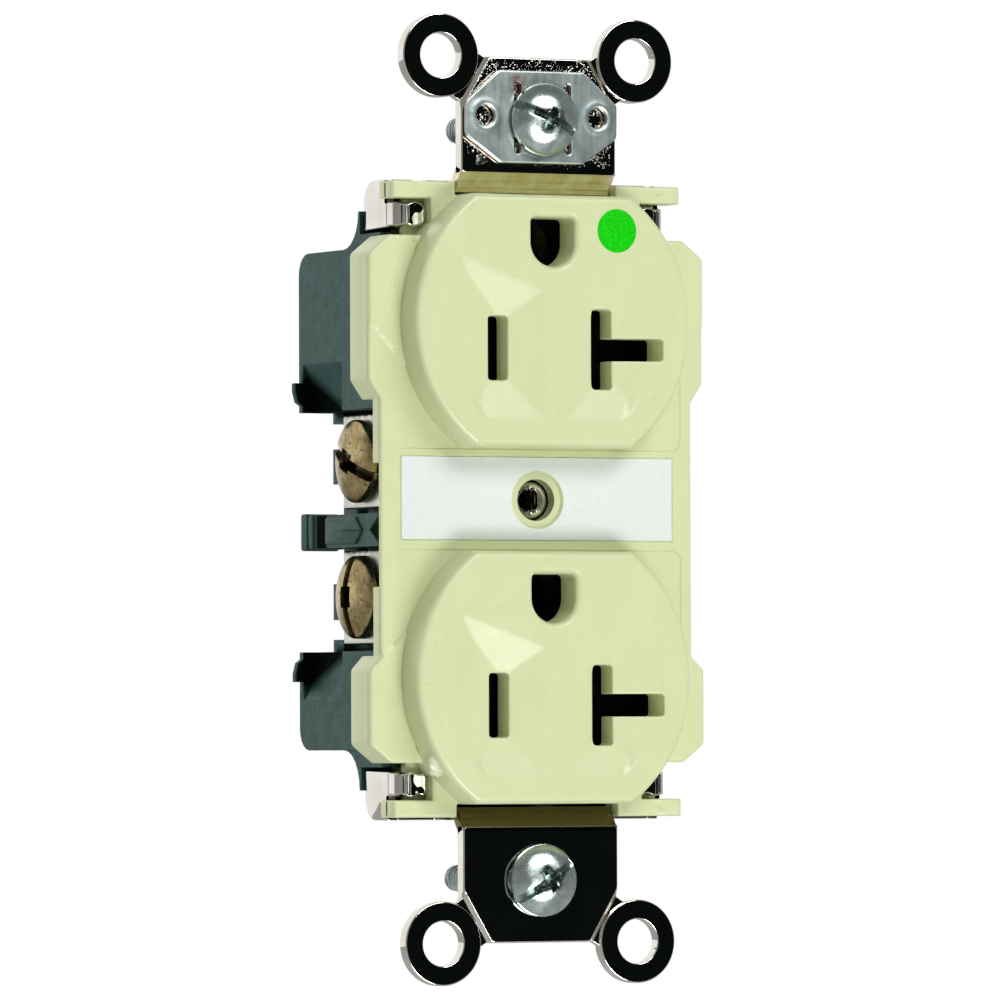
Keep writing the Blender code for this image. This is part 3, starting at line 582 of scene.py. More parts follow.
def ivory_plastic():
    m = Shader("ivory_plastic", ior=1.49)
    m.set(Subsurface_Weight=0.12, Subsurface_Scale=0.0012, Subsurface_Radius=(1.0, 0.9, 0.45))
    m.set(Coat_Weight=0.08, Coat_Roughness=0.12)
    flow = m.times(m.noise(9.0, 4.0, 0.6), m.noise(2.4, 3.0, 0.5, (1.0, 1.0, 0.35)))
    m.feed(Base_Color=m.mottled(flow, (0.675, 0.735, 0.417), (0.71, 0.765, 0.458), 0.12, 0.42),
           Roughness=m.grain(m.noise(0.9, 4.0), 0.27, 0.39),
           Normal=m.bump(m.noise(0.16, 2.0), 0.0035, m.bump(m.noise(3.5, 2.0), 0.012)))
    return m.material


def black_plastic():
    """Black moulding with painted shade: near-black in its hollows, beside the middle rib and behind the
    slots.
    """
    m = Shader("black_plastic", ior=1.45)
    m.set(Specular_Tint=(0.60, 1.0, 0.90, 1.0))
    mottle = m.mottled(m.noise(1.6, 5.0), (0.012, 0.045, 0.038), (0.022, 0.074, 0.064))
    _, depth, height = m.axes()
    # Painted shade: the hollows at the body ends, the middle of the rib and the liner behind the slots are
    # painted near-black, with rougher, duller reflections.
    tilt = m.times(m.minus(23.0, depth), 0.53)
    upper = m.times(m.fall(m.plus(height, tilt), 13.8, 15.6), m.rise(height, 9.0, 10.2))
    lower = m.times(m.fall(m.minus(tilt, height), 20.1, 21.9), m.fall(height, -16.6, -15.5))
    painted_shade = m.times(m.maths("MAXIMUM", upper, lower), m.fall(depth, 22.8, 23.4))
    shade_behind_slots = m.fall(depth, 1.2, 1.6)
    off_middle = m.positive(m.plus(height, 3.2))
    rib = m.times(m.rise(depth, 17.6, 18.0), m.fall(depth, 20.0, 20.8), m.fall(off_middle, 2.4, 2.8))
    painted_shade = m.maths("MAXIMUM", painted_shade, shade_behind_slots, rib)
    m.feed(Base_Color=m.blend(painted_shade, mottle, (0.002, 0.003, 0.003)),
           Roughness=m.plus(m.grain(m.noise(0.35, 3.0), 0.38, 0.54), m.times(painted_shade, 0.4)),
           Specular_IOR_Level=m.ramp(painted_shade, 0.0, 1.0, 0.5, 0.04),
           Normal=m.bump(m.noise(0.22, 3.0), 0.014, m.bump(m.noise(1.2, 2.0), 0.02)))
    return m.material


def nickel_plate():
    """Bright plate with painted reflections on the bends, pale yellow above and dark brown below; the upper
    tab is pitted round the grounding plate.
    """
    m = Shader("nickel_plate", 1.0)
    width, _, height = m.axes()
    out = m.positive(width)
    away = m.positive(height)
    base = m.mottled(m.noise(5.0, 4.0), (0.72, 0.69, 0.62), (0.84, 0.82, 0.77))
    # Painted reflection: the sloping strips' bends get the colour of what they mirror, yellowish ivory on
    # the upper strap end and dark brown on the lower one.
    bend = m.times(m.rise(away, 33.0, 33.6), m.fall(away, 35.7, 36.2), m.fall(out, TAB_X, TAB_X + 0.3))
    upper_bend_reflection = m.mottled(m.noise(1.6, 4.0), (0.76, 0.65, 0.36), (0.92, 0.86, 0.62))
    bend_reflection = m.blend(m.rise(height, -1.0, 1.0), (0.15, 0.125, 0.045), upper_bend_reflection)
    corner_x, corner_z = CHAMFER[0]
    inward = m.plus(m.times(m.minus(corner_x, out), CHAMFER_WAY.y),
                    m.times(m.minus(height, corner_z), CHAMFER_WAY.x))
    on_tab = m.times(m.rise(inward, 0.4, 0.9), m.fall(out, 8.8, 9.6), m.rise(height, 36.0, 37.2))
    specks = m.rise(m.noise(0.24, 2.0, 0.6), 0.58, 0.76)
    patches = m.rise(m.noise(2.2, 2.0), 0.38, 0.52)
    pits = m.times(specks, patches, on_tab)
    m.feed(Base_Color=m.blend(bend, base, bend_reflection),
           Roughness=m.plus(m.ramp(m.noise(1.3, 4.0), 0.35, 0.65, 0.02, 0.05), m.times(bend, 0.12)),
           Normal=m.bump(pits, 0.03, m.bump(m.noise(2.5, 2.0), 0.003)))
    return m.material


def zinc_clip():
    """Dull zinc with drawn streaks, brown on the cut edges and rusty by the left slit."""
    m = Shader("zinc_clip", 1.0)
    width, depth, height = m.axes()
    streaks = m.noise(0.6, 5.0, 0.65, (1.0, 1.0, 0.12))
    base = m.mottled(m.noise(2.2, 6.0, 0.6), (0.54, 0.66, 0.65), (0.78, 0.88, 0.84), 0.38, 0.62)
    by_slit = m.ramp(m.positive(m.plus(width, 2.95)), 0.4, 1.2, 0.75, 0.0)
    rust = m.times(by_slit, m.rise(height, 44.0, 44.9), m.fall(height, 46.2, 46.7),
                   m.ramp(m.noise(0.7, 3.0), 0.40, 0.55, 0.3, 1.0))
    edge = m.ramp(depth, -2.06, -1.96, 0.0, 0.75)
    m.feed(Base_Color=m.blend(rust, m.blend(edge, base, (0.30, 0.17, 0.10)), (0.36, 0.10, 0.06)),
           Roughness=m.grain(streaks, 0.35, 0.42),
           Normal=m.bump(streaks, 0.0008, m.bump(m.noise(2.4, 3.0), 0.015)))
    return m.material


def zinc_screw():
    """Zinc-plated steel with painted shade in the drive, and turning marks round each mounting screw's axis.
    """
    m = Shader("zinc_screw", 1.0)
    width, depth, height = m.axes()
    base = m.mottled(m.noise(1.2, 5.0), (0.38, 0.46, 0.44), (0.60, 0.69, 0.66))
    end = m.maths("SIGN", height)
    up = m.minus(height, m.times(end, MOUNT_Z))
    tangent = m.node("ShaderNodeCombineXYZ")
    m.link(up, tangent.inputs["X"])
    m.link(m.times(width, -1.0), tangent.inputs["Z"])
    # Painted shade: below the dome, in the drive recess, the colour is painted dark.
    apex = m.minus(-4.35, m.times(end, 0.45))
    dome = m.plus(apex, m.times(m.square(up, width), 0.112))
    sunk = m.times(m.ramp(m.minus(depth, dome), 0.2, 0.6, 0.0, 0.9), m.fall(depth, -2.2, -1.8))
    m.set(Anisotropic=0.95)
    m.feed(Base_Color=m.blend(sunk, base, (0.10, 0.15, 0.13)),
           Roughness=m.grain(m.noise(0.5, 4.0), 0.20, 0.30),
           Tangent=tangent.outputs[0],
           Normal=m.bump(m.noise(0.6, 3.0), 0.012))
    return m.material


def aged_brass():
    """Brass gone brown, with grime on the heads and painted shade that makes the drives nearly black."""
    m = Shader("aged_brass", 1.0)
    width, depth, height = m.axes()
    grime = m.rise(m.noise(0.55, 6.0, 0.7), 0.56, 0.66)
    base = m.mottled(m.noise(1.5, 6.0, 0.62), (0.30, 0.215, 0.085), (0.54, 0.43, 0.215), 0.38, 0.62)
    # Painted shade: the drive recess under the dome is painted nearly black.
    middle = (TERMINAL_Z[0] + TERMINAL_Z[1]) / 2
    up = m.minus(m.positive(m.minus(height, middle)), TERMINAL_Z[0] - middle)
    dome = m.minus(16.35, m.times(m.square(m.minus(depth, TERMINAL_Y), up), 0.071))
    out = m.plus(m.positive(width), m.grain(m.noise(1.1), -0.1, 0.1))
    sunk = m.ramp(m.minus(dome, out), 0.15, 0.7, 0.0, 0.93)
    m.feed(Base_Color=m.blend(sunk, m.blend(grime, base, (0.10, 0.085, 0.05)), (0.022, 0.014, 0.007)),
           Roughness=m.ramp(grime, 0.0, 1.0, 0.26, 0.55),
           Normal=m.bump(m.noise(0.45, 5.0), 0.02))
    return m.material


def plain_finish(name, metallic, clouds, dark, light, grain, rough, dents, height, span=(0.35, 0.65)):
    """Two colours in clouds, grain in the roughness and shallow dents; each noise by its settings."""
    m = Shader(name, metallic)
    m.feed(Base_Color=m.mottled(m.noise(*clouds), dark, light, *span),
           Roughness=m.grain(m.noise(*grain), *rough),
           Normal=m.bump(m.noise(*dents), height))
    return m


def green_ink():
    m = plain_finish("green_ink", 0.0, (0.35, 6.0, 0.8), (0.007, 0.52, 0.003), (0.010, 0.74, 0.006),
                     (0.3, 4.0), (0.3, 0.45), (0.2, 4.0), 0.004, (0.4, 0.62))
    m.set(Specular_IOR_Level=0.2)
    return m.material


DRAWN = (1, 1, 0.1)
PRESSED = (1, 1, 0.3)

MATERIALS = {
    "ivory": ivory_plastic(), "black": black_plastic(), "nickel": nickel_plate(),
    "clip": zinc_clip(), "screw": zinc_screw(), "aged": aged_brass(), "dot": green_ink(),
    "bright": plain_finish("bright_zinc", 1.0, (1.6, 4.0), (0.56, 0.56, 0.48), (0.75, 0.75, 0.67),
                           (0.4, 3.0, 0.5, DRAWN), (0.24, 0.4), (0.5, 3.0), 0.008).material,
    "brass": plain_finish("contact_brass", 1.0, (2.0, 4.0), (0.62, 0.44, 0.19), (0.82, 0.64, 0.33),
                          (0.5, 3.0), (0.22, 0.38), (0.4, 3.0), 0.006).material,
    "silver": plain_finish("silver_screw", 1.0, (1.3, 5.0), (0.58, 0.56, 0.50), (0.82, 0.80, 0.75),
                           (0.5, 4.0), (0.2, 0.36), (0.4, 4.0), 0.012).material,
    "green": plain_finish("green_steel", 0.55, (1.4, 4.0), (0.03, 0.25, 0.08), (0.07, 0.42, 0.15),
                          (0.5, 3.0), (0.22, 0.4), (0.4, 4.0), 0.01).material,
    "fibre": plain_finish("fibre", 0.0, (0.5, 6.0, 0.7, PRESSED), (0.030, 0.024, 0.020),
                          (0.060, 0.045, 0.036), (0.4, 4.0), (0.7, 0.9),
                          (0.18, 5.0, 0.7, PRESSED), 0.02).material,
    "paper": plain_finish("label_paper", 0.0, (0.8, 6.0, 0.7), (0.745, 0.80, 0.77), (0.79, 0.845, 0.81),
                          (0.3, 4.0), (0.48, 0.62), (0.12, 5.0, 0.7), 0.004).material,
}


# ---------------------------------------------------------------- face

def boss_outline(centre_z, spacing=0.35):
    """A circle with its top and bottom cut flat and the corners slightly eased."""
    reach = degrees(asin(BOSS_FLAT / BOSS_R))
    steps = int(BOSS_R * radians(2 * reach) / spacing)
    right = arc((0, centre_z), BOSS_R, -reach, reach, steps)
    left = arc((0, centre_z), BOSS_R, 180 - reach, 180 + reach, steps)
    return resample(right + left, spacing)


def slot_loop(x0, x1, z0, z1, corner=0.4):
    return resample(rounded(rectangle(x0, x1, z0, z1), corner, 4), 0.3)


def outlet_holes(centre_z):
    """Outlines of the blade slot, the T slot and the ground socket."""
    row = centre_z - BLADE_DROP
    ground_z = centre_z + GROUND_RISE
    hot = slot_loop(-BLADE_X - 1.2, -BLADE_X + 1.2, row - 3.52, row + 3.52)
    left, right, reach = BLADE_X - 1.24, BLADE_X + 1.24, 13.42
    tee = [
        (left, row - 4.4), (right, row - 4.4), (right, row - 1.24, 0.15), (reach, row - 1.24),
        (reach, row + 1.24), (right, row + 1.24, 0.15), (right, row + 4.4), (left, row + 4.4),
    ]
    half, top, ease = 2.67, 2.65, 0.55
    ground = arc((0, ground_z), half, 180, 360, 24)
    ground += arc((half - ease, ground_z + top - ease), ease, 0, 90, 5)
    ground += arc((ease - half, ground_z + top - ease), ease, 90, 180, 5)
    return [hot, resample(rounded(tee, 0.4, 4), 0.3), resample(ground, 0.3)]


def finder_depth(points, centre_z):
    """Depth of the faceted funnels that lead the blades in."""
    x = np.abs(points[:, 0])
    z = points[:, 1] - centre_z
    slot_in, slot_out = BLADE_X - 1.22, BLADE_X + 1.22
    slot_top, slot_low = 0.5, -6.55
    rim_in, rim_low, rim_r = 1.0, -11.05, 13.7
    tilt = atan2(7.1 - 3.4, 11.4 - 1.0)
    below = (x - rim_in) * sin(tilt) - (z - 3.4) * cos(tilt)
    corner = (slot_in - rim_in) * sin(tilt) - (slot_top - 3.4) * cos(tilt)
    edge_x = np.sqrt(np.clip(rim_r ** 2 - z ** 2, 1.0, None))
    planes = np.stack([
        (x - rim_in) / (slot_in - rim_in),
        below / corner,
        (edge_x - x) / np.clip(edge_x - slot_out, 0.5, None),
        (z - rim_low) / (slot_low - rim_low),
    ])
    soft = 0.010
    lowest = planes.min(0)
    valley = lowest - soft * np.log(np.exp(-(planes - lowest) / soft).sum(0))
    shore = 0.020
    depth = FINDER_DEPTH * shore * np.log1p(np.exp(np.clip(valley, -1, 1.6) / shore))
    return np.minimum(depth, FINDER_DEPTH * 1.3)


def boss_front(centre_z, outline, holes):
    def front(points):
        hot, tee, ground = holes
        depth = finder_depth(points, centre_z)
        return BOSS_FRONT + depth + eased(points, 0.75, outline, ground) + eased(points, 0.16, hot, tee)
    return front


def flange_outline(notched=False):
    """Outline of the flange; the notched one leaves room for the terminal screws."""
    top_low, top_high = 10.9, 28.8
    low_high, low_low = -17.1, -28.8
    mid_top = BOSS_FLAT + OUTLET_Z
    half = [
        (9.9, mid_top), (9.9, BAR_TOP), (BAR_X, BAR_TOP, 0.25), (BAR_X, BAR_LOW), (WINDOW_X, BAR_LOW),
        (WINDOW_X, top_high), (LOBE_X - 2.5, top_high, 0.5), (LOBE_X, top_high - 2.0, 0.8),
        (LOBE_X, top_low + 2.1, 0.8), (MID_X, top_low, 0.3), (MID_X, low_high, 0.3),
        (LOBE_X, low_high - 1.5, 0.8), (LOBE_X, low_low + 2.0, 0.8), (LOBE_X - 2.5, low_low, 0.5),
        (WINDOW_X, low_low), (WINDOW_X, -BAR_LOW),
        (BAR_X, -BAR_LOW), (BAR_X, -BAR_TOP, 0.25), (9.9, -BAR_TOP), (9.9, -mid_top),
    ]
    if notched:
        low, high = SCREW_NOTCH
        half[10:10] = [(MID_X, high), (17.0, high, 0.3), (17.0, low, 0.3), (MID_X, low)]
    return resample(rounded(mirrored(half), 0.12, 3), 0.5)


def along_line(start, stop, step):
    """Points at even steps on a straight line."""
    run, climb = stop[0] - start[0], stop[1] - start[1]
    count = max(1, int(round(hypot(run, climb) / step)))
    return [(start[0] + run * i / count, start[1] + climb * i / count) for i in range(count + 1)]


def both_sides(loop, gap, step):
    """Points along a closed outline, a little inside it and a little outside it."""
    loop = counter_clockwise(loop)
    return resample(inset(loop, gap), step) + resample(inset(loop, -gap), step)


def smooth_step(value, low, high):
    t = np.clip((value - low) / (high - low), 0, 1)
    return t * t * (3 - 2 * t)


def panel_outline():
    return rounded(rectangle(-PANEL_X, PANEL_X, PANEL_Z, 30), 1.2, 6)


def recess_outline():
    return rectangle(LABEL_LOW[0] - LABEL_MARGIN, LABEL_HIGH[0] + LABEL_MARGIN,
                     LABEL_LOW[2] - LABEL_MARGIN, LABEL_HIGH[2] + LABEL_MARGIN)


def inside_by(points, outline):
    """Distance inside an outline, negative outside it."""
    return edge_distance(points, outline) * np.where(inside(points, outline), 1, -1)


def flange_creases():
    """Points along every step of the flange's front."""
    points = both_sides(recess_outline(), 0.05, 0.3)
    panel = both_sides(panel_outline(), 0.07, 0.25)
    points += panel + flipped(panel, 1, -1)
    for side in (-1, 1):
        for shift in (-0.14, 0.24):
            upper = along_line((15.0, 13.56 - shift * 1.45), (20.7, 19.56 - shift * 1.45), 0.25)
            lower = along_line((15.0, -13.75 + shift * 1.32), (20.7, -18.66 + shift * 1.32), 0.25)
            points += flipped(upper + lower, side)
    return points


def flange_front(outline):
    """Front of the flange: raised lobes, sunk panels round the bosses, the label's recess."""
    panel = panel_outline()
    recess = recess_outline()

    def front(points):
        x = np.abs(points[:, 0])
        z = points[:, 1]
        upper = (14.48 + 1.053 * (x - 15.87) - z) * 0.69
        lower = (z + 14.28 + 0.863 * (x - 15.62)) * 0.757
        middle = smooth_step(np.minimum(upper, lower), -0.12, 0.22)
        middle = np.where(x > 15.0, middle, 1.0)
        depth = -0.22 * (1 - middle)
        sunk = np.zeros(len(points))
        for sign in (1, -1):
            sunk = np.maximum(sunk, smooth_step(inside_by(points * (1.0, sign), panel), -0.07, 0.07))
        depth = depth + 0.15 * sunk * middle
        depth = depth + 0.12 * smooth_step(inside_by(points, recess), -0.04, 0.04)
        radius = np.hypot(points[:, 0], points[:, 1])
        depth = depth + np.clip((3.15 - radius) / (3.15 - 2.3), 0, 1) * 1.5
        return FLANGE_FRONT + depth + eased(points, 0.32, outline)
    return front


def lobe_outlines():
    """Outlines of the four deep side skirts."""
    loops = []
    for side in (-1, 1):
        for near, far, slope in ((10.9, 28.8, 2.1), (-17.1, -28.8, 1.5)):
            way = 1 if far > near else -1
            corners = [(17.5, near, 0.1), (MID_X, near, 0.3), (LOBE_X, near + way * slope, 0.8),
                       (LOBE_X, far - way * 2.0, 0.8), (LOBE_X - 2.5, far, 0.5), (17.5, far, 0.1)]
            loops.append(rounded(flipped(corners, side), 0.1, 5))
    return loops


def make_face():
    build = Builder()
    for centre_z in (OUTLET_Z, -OUTLET_Z):
        outline = boss_outline(centre_z)
        holes = outlet_holes(centre_z)
        build.plate(outline, holes, 0.37, boss_front(centre_z, outline, holes), BOSS_FRONT + BOSS_DEEP,
                    rings=(0.04, 0.1, 0.19, 0.31, 0.46, 0.62, 0.78))
        wall = inset(counter_clockwise(outline), 0.02)
        build.tube(wall, inset(wall, BOSS_WALL), BOSS_FRONT + BOSS_DEEP - 0.2, FLANGE_BACK)
    outline = flange_outline()
    openings = [boss_outline(OUTLET_Z, 0.5), boss_outline(-OUTLET_Z, 0.5)]
    openings = [inset(counter_clockwise(loop), 0.05) for loop in openings]
    centre_hole = circle((0, 0), 2.3, 40)
    build.plate(outline, openings + [centre_hole], 0.33, flange_front(outline), FLANGE_FRONT + 0.45,
                rings=(0.03, 0.09, 0.18, 0.32, 0.6, 0.85), marks=flange_creases())
    outline = flange_outline(notched=True)
    build.plate(outline, openings + [centre_hole], 2.0, level(FLANGE_FRONT + 0.4), FLANGE_BACK)
    for loop in lobe_outlines():
        build.prism(loop, FLANGE_BACK - 0.02, LOBE_BACK, round_high=0.3)
    for side in (-1, 1):
        for end in (-1, 1):
            x = sorted((side * 9.9, side * BAR_X))
            z = sorted((end * BAR_LOW, end * BAR_TOP))
            build.box(x, (FLANGE_BACK - 0.4, 2.4), z, 0.1)
            x = sorted((side * 8.0, side * 15.0))
            z = sorted((end * (WINDOW_LOW - 2.0), end * (BAR_LOW + 0.3)))
            build.box(x, (1.75, 2.9), z, 0.1)
            post = circle((side * 9.0, end * 29.6), 2.6, 32)
            build.prism(post, FLANGE_BACK - 0.2, 6.55, round_high=0.2)
        x = sorted((side * 11.4, side * 12.8))
        build.box(x, (FLANGE_BACK - 0.3, 8.65), (-16.1, 9.7), 0.1)
        x = sorted((side * 14.6, side * 15.0))
        build.box(x, (FLANGE_BACK - 0.2, 2.9), (-WINDOW_LOW + 2.0, WINDOW_LOW - 2.0))
    face = build.object("outlet_face", MATERIALS["ivory"])
    return present(face, "root", "ivory_plastic", "face")


def make_liner():
    """A black liner behind the slots, put there to block the light so the slots show as shade; black_plastic
    paints it near-black as painted shade.
    """
    build = Builder()
    for centre_z in (OUTLET_Z, -OUTLET_Z):
        outline = inset(counter_clockwise(boss_outline(centre_z, 0.6)), BOSS_WALL + 0.08)
        holes = [circle((0, centre_z + GROUND_RISE + 0.15), 2.2, 24)]
        for side in (-1, 1):
            row = centre_z - BLADE_DROP
            holes.append(rectangle(side * BLADE_X - 0.6, side * BLADE_X + 0.6, row - 3.4, row + 3.4))
        build.plate(outline, holes, 2.0, level(0.6), 1.0)
        build.tube(outline, inset(outline, 0.3), BOSS_FRONT + BOSS_DEEP + 0.05, 0.62)
    liner = build.object("slot_liner", MATERIALS["black"])
    return present(liner, "root", "black_plastic")


def make_rib_caps():
    """Rear flanges and side panels of the ribs between the terminals."""
    build = Builder()
    for side in (-1, 1):
        for extent, out in (((22.3, 23.88, -5.25, -1.15), 16.95), ((20.9, 22.1, -5.1, -1.3), 16.9)):
            outline = rounded(rectangle(*extent), 0.35, 4)
            x = sorted((side * 12.95, side * out))
            build.prism(outline, x[0], x[1], "X", 0.15, 0.15)
        outline = [(10.2, -4.7), (17.8, -4.7), (17.8, -3.2, 0.1), (17.8, -1.7), (10.2, -1.7),
                   (8.6, -3.2, 0.1)]
        x = sorted((side * 16.4, side * 16.95))
        build.prism(rounded(outline, 0.25, 3), x[0], x[1], "X", 0.2, 0.2)
    caps = build.object("rib_caps", MATERIALS["black"])
    return present(caps, "root", "black_plastic")


def make_label():
    build = Builder()
    outline = rectangle(LABEL_LOW[0], LABEL_HIGH[0], LABEL_LOW[2], LABEL_HIGH[2])
    outline = resample(rounded(outline, 0.25, 4), 0.8)
    hole = circle((0, 0), 3.2, 48)

    def front(points):
        curl = 0.02 * np.sin(points[:, 0] * 0.31 + 1.0) * np.cos(points[:, 1] * 0.7)
        return LABEL_LOW[1] + 0.025 + curl + eased(points, 0.03, outline)
    build.plate(outline, [hole], 0.6, front, LABEL_LOW[1] + 0.16, rings=(0.03,))
    label = build.object("blank_label", MATERIALS["paper"])
    return present(label, "root", "label_paper", "label")


def make_dot():
    build = Builder()
    centre = ((DOT_LOW[0] + DOT_HIGH[0]) / 2, (DOT_LOW[2] + DOT_HIGH[2]) / 2)
    radius = (DOT_HIGH[0] - DOT_LOW[0]) / 2
    outline = circle(centre, radius, 72)

    def front(points):
        return BOSS_FRONT - 0.03 + eased(points, 0.03, outline)
    build.plate(outline, [], 0.5, front, BOSS_FRONT + 0.12, rings=(0.015, 0.03))
    dot = build.object("green_dot", MATERIALS["dot"])
    return present(dot, "root", "green_ink", "grade_dot")


# ---------------------------------------------------------------- strap

def tab_outline():
    half = [(TAB_X, BEND_TOP - 0.3, 0.05), tuple(CHAMFER[0]), tuple(CHAMFER[1])]
    return resample(rounded(mirrored(half), 0.25, 3), 0.4)


def tab_front(outline, hole, end):
    """Front of a tab; a strip along each cut corner slopes back towards its ear."""
    def front(points):
        x, z = CHAMFER[0]
        inward = (x - np.abs(points[:, 0])) * CHAMFER_WAY.y + (points[:, 1] * end - z) * CHAMFER_WAY.x
        depth = -STRAP_T + eased(points, 0.18, outline) + eased(points, 0.25, hole)
        return depth + 0.3 * np.clip((0.6 - inward) / 0.45, 0, 1)
    return front


def score_marks(end):
    """Points along both edges of the sloping strips beside the ears."""
    points = []
    for gap in (0.12, 0.18, 0.57, 0.63):
        inward = Vector((-CHAMFER_WAY.y, CHAMFER_WAY.x)) * gap
        line = along_line(CHAMFER[0] + inward - CHAMFER_WAY * 2, CHAMFER[1] + inward, 0.2)
        points += flipped(line, 1, end) + flipped(line, -1, end)
    return points


def neck_outline(half=2.84):
    """The short bar between a tab's cut corner and its ear."""
    along = CHAMFER_WAY * half
    foot = (CHAMFER[0] + CHAMFER[1]) / 2 - Vector((0.6, 0.4))
    ear = EAR - (EAR - foot).normalized() * 3.2
    return [tuple(p) for p in (foot - along, ear - along, ear + along, foot + along)]


def slanted(end, low_x, high_x, round_edge, build):
    """The sloping strip from a tab to the web, drawn as its side outline (y, z)."""
    outline = [(-STRAP_T, BEND_TOP + 0.25, 0.0), (-STRAP_T, BEND_TOP - 0.05, 0.5), (0.25, WEB_Z[0], 0.4),
               (2.0, WEB_Z[0], 0.0), (2.0, WEB_Z[1], 0.0), (1.15, WEB_Z[1], 0.3), (0.0, BEND_TOP + 0.7, 0.3),
               (0.0, BEND_TOP + 0.75, 0.0)]
    points = rounded(flipped(outline, 1, end), 0.0, 4)
    build.prism(points, low_x, high_x, "X", round_edge, round_edge, 4)


def leg_outline(end):
    """Side outline (y, z) of a strap leg with its round rear corner."""
    corners = [(2.2, TONGUE_Z[0], 0.2), (2.2, TONGUE_Z[1], 0.1), (2.9, TONGUE_Z[1], 0.1),
               (2.9, WEB_Z[1], 0.1), (PLATE_Y[1], WEB_Z[1], 3.4), (PLATE_Y[1], LEG_LOW, 0.2)]
    return rounded(flipped(corners, 1, end), 0.1, 6)


def tongue(build, side, end):
    """The end of a leg, crimped flat over the corner of the face and left rippled."""
    root_x, tip_x = LEG_X[1], WINDOW_X + 0.1
    low, high = TONGUE_Z
    upper = []
    lower = []
    steps = 22
    for i in range(steps + 1):
        x = root_x + (tip_x + 0.5 - root_x) * i / steps
        wave = 0.14 * sin(3.1 * x + end) * min(1.0, 4 * i / steps)
        upper.append((x, high - 0.12 + wave))
        lower.append((x, low + 0.14 - 0.8 * wave))
    nose = [(tip_x + 0.12, high - 0.65), (tip_x, (high + low) / 2), (tip_x + 0.15, low + 0.6)]
    outline = counter_clockwise(flipped(upper + nose + lower[::-1], side, end))
    outline = resample(outline, 0.2)

    def front(points):
        x = np.abs(points[:, 0])
        z = points[:, 1] * end
        bend = smooth_step(x, 15.0, 15.6)
        ridges = 0.12 * np.sin((x - 15.0) * 11.5) * bend
        folds = 0.02 * np.sin(3.6 * x + 2.2 * z) * np.sin(2.4 * z - 1.7 * x + side) * (1 - bend)
        roll = rounding(root_x - x, 1.95)
        return 0.25 + ridges + folds + roll + eased(points, 0.18, outline)
    build.plate(outline, [], 0.13, front, 2.6, rings=(0.03, 0.09, 0.17))


def make_strap():
    build = Builder()
    slot = [(4.2, -2.7), (4.2, 2.7), (-4.2, 2.7), (-4.2, -2.7)]
    for end in (1, -1):
        outline = counter_clockwise(flipped(tab_outline(), 1, end))
        hole = rounded([(x, end * MOUNT_Z + z) for x, z in slot], 2.65, 10)
        build.plate(outline, [resample(hole, 0.4)], 0.5, tab_front(outline, hole, end), 0.0,
                    rings=(0.02, 0.07, 0.13, 0.19, 0.25, 0.31), marks=score_marks(end))
        slanted(end, -TAB_X, TAB_X, 0.25, build)
        for side in (-1, 1):
            neck = flipped(neck_outline(), side, end)
            build.prism(neck, -STRAP_T + 0.32, -0.02, "Y", 0.1, 0.1)
            ear = resample(circle((side * EAR.x, end * EAR.y), EAR_R, 96), 0.4)
            eye = circle((side * EAR.x, end * EAR.y), EAR_HOLE_R, 64)

            def ear_front(points, ear=ear, eye=eye, side=side, end=end):
                ripple = 0.006 * np.sin(points[:, 0] * 0.9 + side) * np.sin(points[:, 1] * 0.7 + end)
                return -STRAP_T + eased(points, 0.16, ear) + eased(points, 0.12, eye) + ripple
            build.plate(ear, [eye], 0.45, ear_front, 0.0, rings=(0.02, 0.06, 0.11, 0.16, 0.20, 0.28))
            x = sorted((side * LEG_X[0], side * LEG_X[1]))
            build.prism(leg_outline(end), x[0], x[1], "X", 0.15, 0.15)
            tongue(build, side, end)
        z = sorted((end * WEB_Z[0], end * WEB_Z[1]))
        build.box((-LEG_X[0] - 0.1, LEG_X[0] + 0.1), (2.85, 5.0), z, 0.1)
        build.box((-TAB_X + 0.3, TAB_X - 0.3), (1.5, 3.2), z)
        bend = [(4.6, WEB_Z[0]), (4.6, WEB_Z[1]), (PLATE_Y[1], WEB_Z[1], 3.4),
                (PLATE_Y[1], 30.0), (PLATE_Y[0], 30.0), (PLATE_Y[0], WEB_Z[0], 2.0)]
        build.prism(flipped(rounded(bend, 0.0, 6), 1, end), -LEG_X[0] - 0.1, LEG_X[0] + 0.1, "X")
        crossbar = rectangle(-14.0, 14.0, 25.5, 30.4)
        holes = [circle((side * ASSEMBLY[0], end * ASSEMBLY[1]), 1.7, 24) for side in (-1, 1)]
        outline = counter_clockwise(flipped(crossbar, 1, end))
        if end > 0:
            holes.append(circle((0, OUTLET_Z + GROUND_RISE + 0.15), 1.9, 24))
        build.plate(resample(outline, 1.0), holes, 1.2, level(PLATE_Y[0] + 0.02), PLATE_Y[1] - 0.02)
    socket_z = GROUND_RISE - OUTLET_Z
    holes = [circle((0, 0), 2.3, 32), circle((0, socket_z), 2.8, 32), circle((0, 22.8), 1.5, 20),
             circle((0, socket_z - 5.4), 1.5, 20)]
    build.plate(resample(rectangle(-4.5, 4.5, -26, 26), 1.0), holes, 1.2, level(PLATE_Y[0]), PLATE_Y[1])
    lug = [(6.9, 29.6), (6.9, 33.0), (16.6, 33.9, 0.6), (17.6, 33.0, 0.6), (17.6, 28.6, 0.5),
           (16.8, 28.15, 0.5), (8.7, 28.15, 0.4), (8.7, 29.6)]
    thread = circle((13.2, 31.0), 2.25, 32)
    outline = resample(rounded(lug, 0.1, 4), 0.5)

    def lug_front(points):
        return LEG_X[1] - eased(points, 0.15, outline)
    build.plate(outline, [thread], 0.8, lug_front, LEG_X[0], rings=(0.05, 0.15), axis="X")
    strap = build.object("plated_strap", MATERIALS["nickel"], 40)
    return present(strap, "root", "nickel_strap", "mounting_strap")


